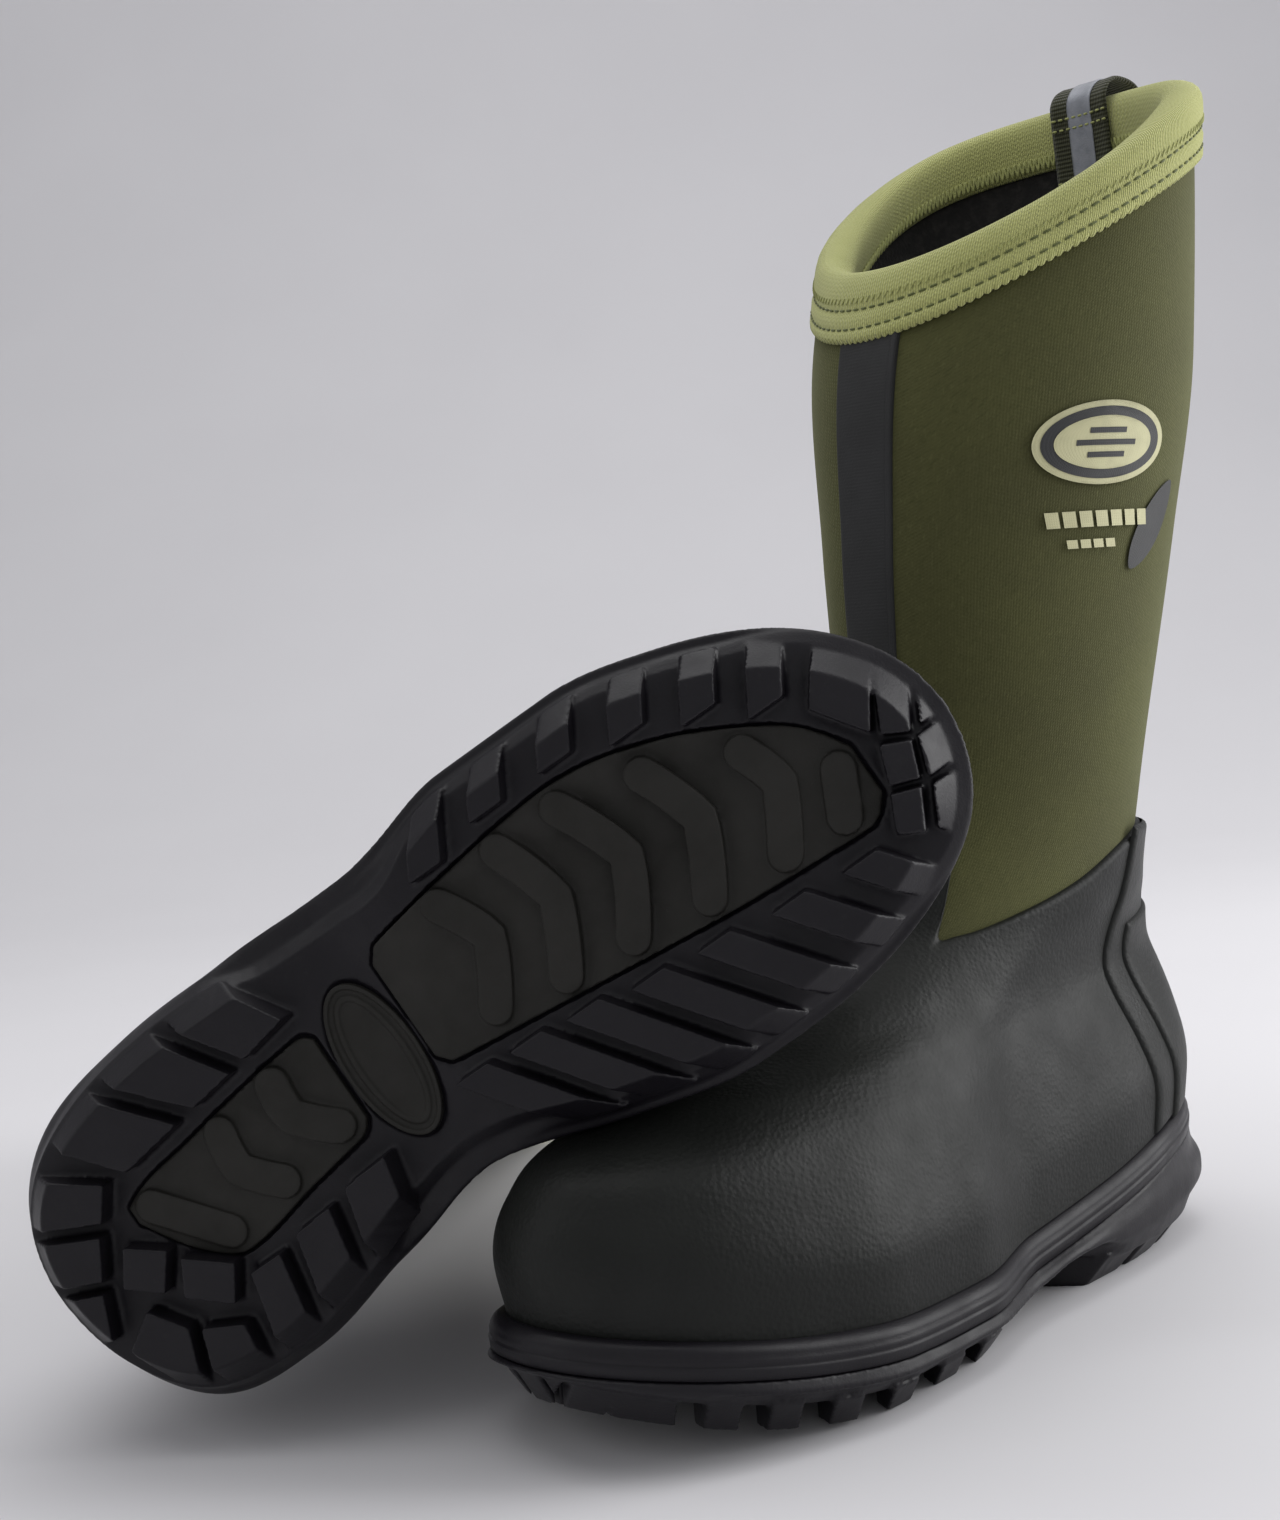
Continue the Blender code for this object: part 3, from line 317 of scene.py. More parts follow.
def grid_piece(name, grid, material, closed=False, uv=None, **words):
    """Piece made of one grid of points, with the distance along it as its uv."""
    rows, columns = grid.shape[:2]
    if uv is None:
        across = np.linalg.norm(np.diff(grid, axis=1, prepend=grid[:, :1]), axis=2).cumsum(1)
        along = np.linalg.norm(np.diff(grid, axis=0, prepend=grid[:1]), axis=2).cumsum(0)
        uv = np.stack([np.broadcast_to(across.mean(0), across.shape), along], -1)
    faces = grid_faces(rows, columns, closed)
    return add_piece(name, grid.reshape(-1, 3), faces, material, uv=uv.reshape(-1, 2), **words)


def join(shapes):
    """Points and faces of several shapes as one."""
    points, faces = [], []
    for shape_points, shape_faces in shapes:
        start = len(points)
        points += [tuple(p) for p in shape_points]
        faces += [tuple(int(i) + start for i in face) for face in shape_faces]
    return points, faces


def rounded(count, edge, steps=4):
    """Places from 0 to 1 and heights that rise to 1 over a rounded edge at both ends."""
    turn = np.radians(np.linspace(0, 90, steps + 1))
    rise = edge * (1 - np.cos(turn))
    places = np.concatenate([rise, np.linspace(edge, 1 - edge, count)[1:-1], 1 - rise[::-1]])
    heights = np.concatenate([np.sin(turn), np.ones(count - 2), np.sin(turn)[::-1]])
    return places, heights


def layer_piece(name, place, near, far, material, counts=(30, 30), edges=(0.03, 0.03), **words):
    """Thin layer on the upper with rounded edges; place maps shares across and up to (angle, level)."""
    across, height_a = rounded(counts[0], edges[0])
    up, height_b = rounded(counts[1], edges[1])
    share_a, share_b = np.meshgrid(across, up)
    height = np.minimum(height_a[None, :], height_b[:, None])
    angle, level = place(share_a, share_b)
    grid = skin(angle, level, near + (far - near) * height)
    return grid_piece(name, grid[:, ::-1], material, **words)


def stitches(name, starts, ends, radius, material, bulge=None, **words):
    """Short thread stitches from starts to ends, as one piece."""
    starts, ends = np.asarray(starts, float), np.asarray(ends, float)
    along = ends - starts
    length = np.linalg.norm(along, axis=1)[:, None]
    along = along / length
    helper = np.where(np.abs(along[:, 2:3]) < 0.9, np.array([[0.0, 0, 1]]), np.array([[1.0, 0, 0]]))
    side = np.cross(along, helper)
    side /= np.linalg.norm(side, axis=1)[:, None]
    other = np.cross(along, side)
    shares = np.array((0, 0.06, 0.2, 0.5, 0.8, 0.94, 1.0))
    widths = np.array((0.25, 0.75, 1.0, 1.0, 1.0, 0.75, 0.25)) * radius
    turns = np.arange(6) * pi / 3
    rings = []
    for share, width in zip(shares, widths):
        centre = starts + along * length * share
        if bulge is not None:
            centre = centre + bulge * sin(pi * share)
        for turn in turns:
            rings.append(centre + side * width * cos(turn) + other * width * sin(turn))
    points = np.stack(rings, 1)
    faces = []
    for s in range(len(starts)):
        start = s * 42
        for r in range(6):
            for t in range(6):
                u = (t + 1) % 6
                a = start + r * 6
                faces.append((a + t, a + u, a + 6 + u, a + 6 + t))
        faces.append(tuple(range(start, start + 6)))
        faces.append(tuple(range(start + 36, start + 42)))
    return add_piece(name, points.reshape(-1, 3), faces, material, **words)


# ---- materials

class Paint:
    """A node material under construction."""

    def __init__(self, name, color, roughness, **sockets):
        self.material = bpy.data.materials.new(name)
        self.material.use_nodes = True
        self.nodes = self.material.node_tree.nodes
        self.links = self.material.node_tree.links
        self.shader = self.nodes["Principled BSDF"]
        self.color = color
        self.shader.inputs["Base Color"].default_value = color + (1,)
        self.shader.inputs["Roughness"].default_value = roughness
        for socket, value in sockets.items():
            self.shader.inputs[socket.replace("_", " ")].default_value = value
        self.normal = None

    def node(self, kind, **values):
        made = self.nodes.new("ShaderNode" + kind)
        for key, value in values.items():
            if key in made.inputs:
                made.inputs[key].default_value = value
            else:
                setattr(made, key, value)
        return made

    def coordinates(self, uv=False, scale=(1, 1, 1)):
        """Object or uv coordinates in millimetres, scaled."""
        source = self.node("TexCoord")
        mapping = self.node("Mapping")
        factor = 1.0 if uv else 1 / MM
        mapping.inputs["Scale"].default_value = [s * factor for s in scale]
        self.links.new(source.outputs["UV" if uv else "Object"], mapping.inputs["Vector"])
        return mapping.outputs["Vector"]

    def noise(self, size, detail=3.0, uv=False, stretch=(1, 1, 1), roughness=0.55):
        """Noise whose features are about size millimetres across."""
        made = self.node("TexNoise", Detail=detail, Scale=1.0, Roughness=roughness)
        scale = [s / size for s in stretch]
        self.links.new(self.coordinates(uv, scale), made.inputs["Vector"])
        return made.outputs["Fac"]

    def waves(self, pitch, across=True, uv=True, distortion=0.0):
        """Ridges pitch millimetres apart, along or across the surface."""
        made = self.node("TexWave", Scale=1.0, Distortion=distortion)
        made.wave_type = "BANDS"
        made.bands_direction = "X" if across else "Y"
        factor = 2 * pi / 20 / pitch
        self.links.new(self.coordinates(uv, (factor, factor, factor)), made.inputs["Vector"])
        return made.outputs["Fac"]

    def cells(self, size):
        """Pebbles about size millimetres across."""
        made = self.node("TexVoronoi", Scale=1.0, feature="SMOOTH_F1", Smoothness=0.6)
        self.links.new(self.coordinates(False, (1 / size,) * 3), made.inputs["Vector"])
        return made.outputs["Distance"]

    def math(self, operation, a, b):
        made = self.node("Math", operation=operation)
        for socket, value in zip(made.inputs, (a, b)):
            if isinstance(value, (int, float)):
                socket.default_value = value
            else:
                self.links.new(value, socket)
        return made.outputs[0]

    def ramp(self, value, low, high, start=0.0, end=1.0):
        """Value stretched so that low becomes start and high becomes end."""
        made = self.node("MapRange")
        ends = (("From Min", low), ("From Max", high), ("To Min", start), ("To Max", end))
        for socket, place in ends:
            made.inputs[socket].default_value = place
        self.links.new(value, made.inputs["Value"])
        return made.outputs["Result"]

    def tint(self, value, other, low=0.35, high=0.65):
        """Blend the colour towards another one where value is high."""
        mix = self.node("Mix", data_type="RGBA")
        self.links.new(self.ramp(value, low, high), mix.inputs["Factor"])
        sockets = [s for s in mix.inputs if s.type == "RGBA"]
        current = self.shader.inputs["Base Color"].links
        if current:
            self.links.new(current[0].from_socket, sockets[0])
        else:
            sockets[0].default_value = self.color + (1,)
        sockets[1].default_value = other + (1,)
        self.links.new(mix.outputs[2], self.shader.inputs["Base Color"])
        return self

    def vary_roughness(self, value, low, high):
        self.links.new(self.ramp(value, 0.3, 0.7, low, high), self.shader.inputs["Roughness"])
        return self

    def bump(self, value, height, strength=1.0):
        """Relief of the given height in millimetres."""
        made = self.node("Bump", Strength=strength, Distance=height * MM)
        self.links.new(value, made.inputs["Height"])
        if self.normal:
            self.links.new(self.normal, made.inputs["Normal"])
        self.normal = made.outputs["Normal"]
        self.links.new(self.normal, self.shader.inputs["Normal"])
        return self


def outsole_rubber():
    paint = Paint("outsole_rubber", (0.007, 0.006, 0.0085), 0.4, Specular_IOR_Level=0.26)
    paint.tint(paint.noise(35.0, 4), (0.0095, 0.0085, 0.011))
    paint.tint(paint.noise(2.5, 5), (0.013, 0.0125, 0.014), 0.6, 0.85)
    paint.vary_roughness(paint.noise(14.0, 4), 0.36, 0.52)
    paint.bump(paint.noise(0.7, 2), 0.06)
    return paint.bump(paint.noise(9.0, 3), 0.25, 0.6).material


def insert_rubber():
    paint = Paint("insert_rubber", (0.0165, 0.0158, 0.0135), 0.55, Specular_IOR_Level=0.25)
    paint.tint(paint.noise(22.0, 4), (0.021, 0.02, 0.0175))
    paint.tint(paint.noise(1.6, 4), (0.028, 0.027, 0.024), 0.66, 0.85)
    paint.vary_roughness(paint.noise(8.0, 4), 0.52, 0.7)
    return paint.bump(paint.noise(0.8, 3), 0.09).material


def foot_rubber():
    paint = Paint("foot_rubber", (0.0085, 0.0092, 0.0083), 0.45, Specular_IOR_Level=0.2)
    paint.tint(paint.noise(45.0, 3), (0.0112, 0.0122, 0.0108))
    paint.vary_roughness(paint.noise(18.0, 4), 0.42, 0.53)
    paint.bump(paint.cells(1.5), 0.16, 0.8)
    paint.bump(paint.noise(0.5, 2), 0.05)
    return paint.bump(paint.noise(30.0, 2, stretch=(1, 1, 2.0)), 0.5, 0.3).material


def neoprene_cloth():
    """Fine plain weave with a heathered colour."""
    paint = Paint("neoprene_cloth", (0.066, 0.0655, 0.0255), 0.9, Sheen_Weight=0.32,
                  Sheen_Roughness=0.45, Specular_IOR_Level=0.2)
    paint.shader.inputs["Sheen Tint"].default_value = (0.6, 0.62, 0.38, 1)
    paint.tint(paint.noise(60.0, 3), (0.08, 0.081, 0.029))
    paint.tint(paint.noise(1.1, 3, uv=True, stretch=(0.35, 1, 1)), (0.05, 0.052, 0.0175), 0.5, 0.8)
    paint.tint(paint.noise(1.1, 3, uv=True, stretch=(1, 0.35, 1)), (0.105, 0.106, 0.043), 0.55, 0.85)
    weft = paint.waves(1.2, True, distortion=2.5)
    warp = paint.waves(1.2, False, distortion=2.5)
    paint.bump(paint.math("MULTIPLY", weft, warp), 0.14, 0.8)
    paint.bump(paint.noise(0.9, 2), 0.1)
    return paint.bump(paint.noise(20.0, 2), 0.3, 0.35).material


def knit_tape():
    """Lime tape knitted in fine ribs, with painted shade in the valleys between them."""
    paint = Paint("knit_tape", (0.5, 0.51, 0.19), 0.85, Sheen_Weight=0.25, Sheen_Roughness=0.5,
                  Specular_IOR_Level=0.2)
    paint.tint(paint.noise(24.0, 3), (0.56, 0.57, 0.22))
    # Painted shade: the rib valleys, the low parts of the same waves that raise the ribs in the bump below,
    # are darkened.
    paint.tint(paint.waves(0.9, True, distortion=0.6), (0.34, 0.355, 0.12), 0.75, 0.0)
    paint.bump(paint.waves(0.9, True, distortion=0.6), 0.22)
    paint.bump(paint.waves(1.6, False, distortion=1.0), 0.16, 0.7)
    return paint.bump(paint.noise(0.6, 2), 0.08).material


def webbing_cloth():
    paint = Paint("webbing_cloth", (0.03, 0.032, 0.013), 0.8, Sheen_Weight=0.2, Specular_IOR_Level=0.25)
    ribs = paint.waves(1.5, False, distortion=0.3)
    # Painted highlight: the rib crests, where the bump below is high, are lightened, which leaves the
    # valleys darker as painted shade.
    paint.tint(ribs, (0.055, 0.056, 0.027), 0.3, 0.9)
    paint.bump(ribs, 0.35)
    return paint.bump(paint.waves(0.8, True, distortion=0.5), 0.15).material


def reflective_tape():
    paint = Paint("reflective_tape", (0.2, 0.21, 0.235), 0.42, Metallic=0.35)
    paint.tint(paint.noise(5.0, 3), (0.26, 0.27, 0.3))
    return paint.bump(paint.cells(0.6), 0.06).material


def seam_tape():
    paint = Paint("seam_tape", (0.024, 0.0243, 0.0245), 0.62, Specular_IOR_Level=0.28)
    paint.tint(paint.noise(18.0, 4), (0.03, 0.0303, 0.031))
    paint.bump(paint.noise(0.8, 3), 0.12)
    return paint.bump(paint.waves(1.1, False, distortion=1.5), 0.05, 0.5).material


def lining_cloth():
    paint = Paint("lining_cloth", (0.012, 0.011, 0.0105), 0.95, Sheen_Weight=0.2, Sheen_Roughness=0.4)
    paint.tint(paint.noise(3.0, 5), (0.03, 0.027, 0.025), 0.45, 0.75)
    paint.bump(paint.noise(1.2, 4), 0.5)
    return paint.bump(paint.noise(22.0, 2), 1.2, 0.6).material


def print_paint(name, color):
    """Thin transfer film that lets the weave show through a little."""
    paint = Paint(name, color, 0.55, Specular_IOR_Level=0.35)
    paint.tint(paint.noise(7.0, 4), tuple(c * 0.88 for c in color), 0.4, 0.7)
    weave = paint.math("MULTIPLY", paint.waves(0.85, True), paint.waves(0.85, False))
    return paint.bump(weave, 0.05).material


def thread(name, color):
    paint = Paint(name, color, 0.75, Sheen_Weight=0.2)
    paint.tint(paint.noise(1.2, 3), tuple(c * 0.7 for c in color))
    return paint.bump(paint.noise(0.3, 2, stretch=(1, 1, 3)), 0.06).material


def plain_inner(name, color, roughness, size, metallic=0.0):
    """Material for an inner piece, mottled over size millimetres."""
    paint = Paint(name, color, roughness, Metallic=metallic)
    paint.tint(paint.noise(size, 4), tuple(c * 0.75 for c in color))
    paint.vary_roughness(paint.noise(size * 0.6, 3), roughness * 0.85, min(1.0, roughness * 1.1))
    return paint.bump(paint.noise(size * 0.1, 3), 0.08).material


# ---- sole

def polygon_prism(corners, low, high):
    """Upright block on a flat outline between two height functions."""
    corners = np.array(corners, float)
    count = len(corners)
    bottom = np.column_stack([corners, np.asarray(low(corners[:, 0]))])
    top = np.column_stack([corners, np.asarray(high(corners[:, 0]))])
    faces = [tuple(range(count))[::-1], tuple(range(count, 2 * count))]
    faces += [(j, (j + 1) % count, (j + 1) % count + count, j + count) for j in range(count)]
    return np.vstack([bottom, top]), faces


def ring_stack(rings):
    """Closed shape through rings of points, with flat fans at both ends."""
    rings = np.array(rings)
    count = rings.shape[1]
    faces = grid_faces(len(rings), count, True)
    points = rings.reshape(-1, 3)
    for start in (0, (len(rings) - 1) * count):
        for j in range(count // 2 - 1):
            a, b = start + j, start + j + 1
            c, d = start + (count - j - 1) % count, start + (count - j) % count
            faces.append((a, b, c, d) if j else (a, b, c))
        faces.append((start + count // 2 - 1, start + count // 2, start + count // 2 + 1))
    return points, faces


def plate(stations, clearance, low, high):
    """Plate given by (x, inner y, outer y) stations, with round corners."""
    x, inner, outer = np.array(stations, float).T
    dense = np.linspace(x[0] - clearance, x[-1] + clearance, 40)
    left = curve(dense, list(zip(x, outer))) + clearance
    right = curve(dense, list(zip(x, inner))) - clearance
    middle, half = (left + right) / 2, (left - right) / 2
    ends = np.minimum(dense - dense[0], dense[-1] - dense) / 5.0
    half = half * np.sqrt(np.clip(1 - (1 - np.clip(ends, 0, 1)) ** 2 * 0.35, 0, 1))
    edge = [(a, m + h) for a, m, h in zip(dense, middle, half)]
    edge += [(a, m - h) for a, m, h in zip(dense[::-1], middle[::-1], half[::-1])]
    return polygon_prism(edge, low, high)


def oval(centre_x, centre_y, half_x, half_y, count=64):
    turn = np.arange(count) * 2 * pi / count
    return np.column_stack([centre_x + half_x * np.cos(turn), centre_y + half_y * np.sin(turn)])


def stroke(path, width, ends=7):
    """Outline of a bar with round ends and a rounded bend that follows a path."""
    path = np.array(path, float)
    if len(path) == 3:
        t = np.linspace(0, 1, 13)[:, None]
        bend = (path[0] * (1 - t) ** 2 + 2 * path[1] * t * (1 - t) + path[2] * t * t)
        sharp = np.where(t < 0.5, path[0] + (path[1] - path[0]) * 2 * t,
                         path[1] + (path[2] - path[1]) * (2 * t - 1))
        path = 0.45 * bend + 0.55 * sharp
    along = np.gradient(path, axis=0)
    along /= np.linalg.norm(along, axis=1)[:, None]
    across = np.column_stack([-along[:, 1], along[:, 0]])
    half = width / 2
    left, right = path + across * half, path - across * half
    turns = np.radians(np.linspace(90, -90, ends + 2)[1:-1])
    tip = [path[-1] + half * (along[-1] * cos(a) + across[-1] * sin(a)) for a in turns]
    tail = [path[0] - half * (along[0] * cos(a) + across[0] * sin(a)) for a in turns]
    return np.vstack([left, tip, right[::-1], tail])


def lug_footprints():
    lugs = []
    for lugs_in, slant, way in ((LATERAL_LUGS, 0.6, 34.0), (MEDIAL_LUGS, 0.74, -47.6)):
        for x, y in lugs_in:
            far = slant * abs(way)
            lugs.append([(x, y), (x + LUG_WIDTH, y), (x + LUG_WIDTH + far, y + way), (x + far, y + way)])
    return lugs + [list(corners) for corners in TOE_LUGS + HEEL_LUGS]


def temporary(points, faces):
    """Object for one Boolean or remesh step."""
    mesh = bpy.data.meshes.new("work")
    mesh.from_pydata([tuple(p) for p in points], [], [tuple(f) for f in faces])
    work = bmesh.new()
    work.from_mesh(mesh)
    bmesh.ops.recalc_face_normals(work, faces=work.faces)
    work.to_mesh(mesh)
    work.free()
    obj = bpy.data.objects.new("work", mesh)
    bpy.context.scene.collection.objects.link(obj)
    return obj


def baked(obj, others=()):
    """Points and faces of an object with its modifiers, which is then removed."""
    graph = bpy.context.evaluated_depsgraph_get()
    mesh = obj.evaluated_get(graph).to_mesh()
    points = np.zeros(len(mesh.vertices) * 3)
    mesh.vertices.foreach_get("co", points)
    faces = [tuple(face.vertices) for face in mesh.polygons]
    for each in (obj, *others):
        bpy.data.objects.remove(each)
    return points.reshape(-1, 3), faces


def boolean(shape, other, operation):
    """Boolean of two shapes given as points and faces."""
    first, second = temporary(*shape), temporary(*other)
    modifier = first.modifiers.new("cut", "BOOLEAN")
    modifier.object = second
    modifier.operation = operation
    modifier.solver = "EXACT"
    return baked(first, [second])


def moulded(shape, voxel, smoothing):
    """One moulded skin round overlapping shapes, with its edges softened."""
    work = temporary(*shape)
    remesh = work.modifiers.new("mould", "REMESH")
    remesh.mode = "VOXEL"
    remesh.voxel_size = voxel
    soften = work.modifiers.new("soften", "SMOOTH")
    soften.factor = 0.5
    soften.iterations = smoothing
    return baked(work)


def side_wall():
    """Body of the outsole: ledge at the heel and a raised arch over the waist."""
    count = 220
    x = plan_ring(0.0, count)[:, 0]
    arch = smooth_step(88, 112, x) * (1 - smooth_step(140, 172, x))
    ledge = 1 - smooth_step(18, 62, x)
    ribbed = smooth_step(138, 158, x) * (1 - smooth_step(272, 298, x))
    rings = []
    for share in np.linspace(0, 1, 20):
        inset = 5.0 * (1 - smooth_step(-0.2, 0.45, share))
        inset += 1.2 * smooth_step(0.6, 1.0, share)
        hollow = 5.5 * arch * (1 - smooth_step(0.34, 0.5, share + 0.12 * (1 - arch)))
        hollow = hollow + 3.2 * ribbed * (1 - smooth_step(0.46, 0.54, share))
        band = 1.3 * arch * smooth_step(0.45, 0.55, share) * (1 - smooth_step(0.8, 0.95, share))
        kick = 2.6 * ledge * smooth_step(0.2, 0.42, share) * (1 - smooth_step(0.55, 0.8, share))
        ring = plan_ring(inset + hollow - band - kick, count)
        height = base(ring[:, 0]) + share * (sole_top(ring[:, 0]) - base(ring[:, 0]))
        rings.append(np.column_stack([ring, height]))
    return ring_stack(rings)


def lug_blocks():
    """Tread lugs cut to the sole's edge, with ribs that climb the side wall."""
    prints = lug_footprints()
    treads = join([polygon_prism(p, lambda x: spring(x) - 1.0, lambda x: base(x) + 1.0) for p in prints])
    ring_low, ring_high = plan_ring(TREAD_INSET), plan_ring(3.6)
    reach = ring_stack([np.column_stack([ring_low, spring(ring_low[:, 0])]),
                        np.column_stack([ring_high, base(ring_high[:, 0]) + 1.2])])
    ribs = join([polygon_prism(p, lambda x: spring(x) - 1.0, lambda x: base(x) + 15.0) for p in prints])
    ring = plan_ring(7.5)
    skirt = [np.column_stack([ring, spring(ring[:, 0])])]
    for lift, inset in ((-2.0, 3.6), (2.0, 1.0), (7.0, -1.0), (11.0, -1.3), (14.5, 1.5)):
        ring = plan_ring(inset)
        skirt.append(np.column_stack([ring, base(ring[:, 0]) + lift]))
    return [boolean(treads, reach, "INTERSECT"), boolean(ribs, ring_stack(skirt), "INTERSECT")]


def make_outsole(rubber):
    body = side_wall()
    for stations in (FOREFOOT_INSERT, HEEL_INSERT):
        recess = plate(stations, RECESS_GAP, lambda x: base(x) - 4, lambda x: base(x) + 2.0)
        body = boolean(body, recess, "DIFFERENCE")
    x, y, half_x, half_y = BOSS
    hole = oval(x, y, half_x + 1, half_y + 1)
    recess = polygon_prism(hole, lambda x: base(x) - 6, lambda x: base(x) + 1.2)
    body = boolean(body, recess, "DIFFERENCE")
    points, faces = moulded(join([body] + lug_blocks()), 0.68, 2)
    return add_piece("sole_moulding", points, faces, rubber, ["outsole"], "outsole_rubber")


def make_insert(name, stations, pads, rubber):
    shapes = [plate(stations, 0.0, lambda x: base(x) - 0.8, lambda x: base(x) + 1.7)]
    shapes += [polygon_prism(stroke(path, 10.0), lambda x: base(x) - 2.7, lambda x: base(x) + 0.5)
               for path in pads]
    points, faces = moulded(join(shapes), 0.5, 3)
    return add_piece(name + "_moulding", points, faces, rubber, [name], "insert_rubber")


def make_boss(rubber):
    x, y, half_x, half_y = BOSS
    level = float(base(x))
    shapes = [polygon_prism(oval(x, y, half_x, half_y), lambda v: v * 0 + level - 1.2,
                            lambda v: v * 0 + level + 1.3)]
    for grow, lip in ((0.0, 2.2), (-3.6, 1.9)):
        outer = oval(x, y, half_x + grow, half_y + grow)
        inner = oval(x, y, half_x + grow - 1.5, half_y + grow - 1.5)
        rings = []
        for ring, height in ((outer, level), (outer, level - lip), (inner, level - lip), (inner, level)):
            rings.append(np.column_stack([ring, np.full(len(ring), height)]))
        faces = grid_faces(4, len(outer), True)
        last = 3 * len(outer)
        count = len(outer)
        faces += [(last + j, last + (j + 1) % count, (j + 1) % count, j) for j in range(count)]
        shapes.append((np.vstack(rings), faces))
    points, faces = moulded(join(shapes), 0.4, 3)
    return add_piece("waist_boss_moulding", points, faces, rubber, ["waist_boss"], "insert_rubber")


def make_rand(rubber):
    """Band round the top of the sole, with two fine grooves."""
    profile = ((0.0, 9.0), (-0.02, 2.0), (0.03, 1.0), (0.3, 0.7), (0.36, 0.8), (0.4, 1.3), (0.44, 1.0),
               (0.6, 1.1), (0.66, 1.6), (0.72, 1.5), (0.86, 2.3), (0.95, 3.4), (1.0, 4.6), (1.02, 6.2),
               (0.96, 8.6))
    grid = []
    for share, inset in profile:
        ring = plan_ring(inset, 300)
        low, high = sole_top(ring[:, 0]) + 0.2, feather(ring[:, 0]) - 0.1
        grid.append(np.column_stack([ring, low + share * (high - low)]))
    return grid_piece("rand_band", np.array(grid), rubber, True, stands_for=["rand"], slot="outsole_rubber")


# ---- upper

def make_shaft(cloth):
    angle = around(200)
    shares = np.linspace(0, 1, 110)[:, None]
    level = SHAFT_LOW + shares * (rim_level(angle)[None, :] + 0.4 - SHAFT_LOW)
    soft = 0.35 * np.sin(np.radians(3 * angle + 40))[None, :] * np.sin(level / 31.0)
    grid = skin(np.broadcast_to(angle, level.shape), level, soft * smooth_step(150, 200, level))
    return grid_piece("shaft_cloth", grid, cloth, True, stands_for=["neoprene_bootie"], slot="neoprene")


def make_lining(cloth):
    angle = around(120)
    shares = np.linspace(0, 1, 90)[:, None]
    level = LINING_LOW + shares * (rim_level(angle)[None, :] + 0.5 - LINING_LOW)
    grid = skin(np.broadcast_to(angle, level.shape), level, -(LINING_DEPTH + LINING))
    return grid_piece("lining_cloth", grid[:, ::-1], cloth, True, stands_for=["lining"], slot="lining")


def folds(angle, level):
    """Soft creases over the instep, in millimetres."""
    front = np.exp(-(angle / 55.0) ** 2)
    place = np.exp(-((level - 128) / 22.0) ** 2)
    return 0.55 * front * place * np.sin(level / 3.4 + angle / 21.0)


def make_foot_cover(rubber):
    angle = around(260)
    collar = collar_level(angle)[None, :]
    shares = np.linspace(0, 1, 90)[:, None] ** 0.9
    level = FEATHER_LEVEL + 0.2 + shares * (collar - 2.2 - FEATHER_LEVEL)
    proud = GAP + RUBBER + folds(angle[None, :], level)
    turns = np.radians(np.linspace(15, 90, 6))[:, None]
    edge_level = collar - 2.0 + 2.0 * np.sin(turns)
    edge_proud = -0.2 + (GAP + RUBBER + 0.2) * np.cos(turns) ** 0.7 + 0 * collar
    level = np.vstack([level, edge_level])
    proud = np.vstack([proud, edge_proud])
    grid = skin(np.broadcast_to(angle, level.shape), level, proud)
    return grid_piece("cover_skin", grid, rubber, True, stands_for=["foot_cover"], slot="foot_rubber")


def heel_place(low_sweep, high_sweep, top):
    def place(across, up):
        sweep = low_sweep + (high_sweep - low_sweep) * smooth_step(0.1, 1, up)
        return 180 + (1 - 2 * across) * sweep, FEATHER_LEVEL + 0.4 + up * (top - FEATHER_LEVEL)
    return place


def make_heel_layers(rubber):
    cover = GAP + RUBBER
    layer_piece("heel_counter_skin", heel_place(51, 63, COUNTER_TOP), cover - 0.2, cover + GAP + COUNTER,
                rubber, (70, 50), (0.018, 0.02), stands_for=["heel_counter"], slot="foot_rubber")
    inner = cover + GAP + COUNTER
    layer_piece("heel_guard_skin", heel_place(43, 51, GUARD_TOP), inner - 0.2, inner + GAP + COUNTER,
                rubber, (60, 40), (0.02, 0.03), stands_for=["heel_guard"], slot="foot_rubber")


def make_back_stay(rubber):
    def place(across, up):
        low = collar_level(180.0) - 1.0
        sweep = STAY_SWEEP * (1 - 0.2 * smooth_step(0.75, 1, up))
        return 180 + (1 - 2 * across) * sweep, low + up * (TONGUE_TOP - low)
    layer_piece("back_stay_skin", place, -0.2, GAP + 1.6, rubber, (16, 40), (0.09, 0.04),
                stands_for=["back_stay"], slot="foot_rubber")


def make_seam_tape(tape):
    """Tape over the shaft's front seam, with a narrow welded edge along one side."""
    def place(across, up):
        angle = TAPE_SWEEP * (1 - 2 * across)
        low, high = TONGUE_TOP - 4.0, rim_level(0.0) - BINDING_DROP + 4.0
        return angle, low + up * (high - low)

    def edge(across, up):
        angle, level = place(across, up)
        return 9.6 + 2.6 * (1 - across) + 0 * angle, level
    layer_piece("seam_tape_skin", place, -0.2, GAP + 0.8, tape, (16, 60), (0.04, 0.01),
                stands_for=["front_seam_tape"], slot="tape")
    layer_piece("seam_tape_edge", edge, -0.2, GAP + 1.2, tape, (6, 60), (0.3, 0.01), slot="tape")


def rim_grid(profile, count):
    """Grid swept round the rim through (height above it, distance out) points."""
    angle = around(count)
    rows = [skin(angle, rim_level(angle) + dz, proud) for dz, proud in profile]
    return np.array(rows)


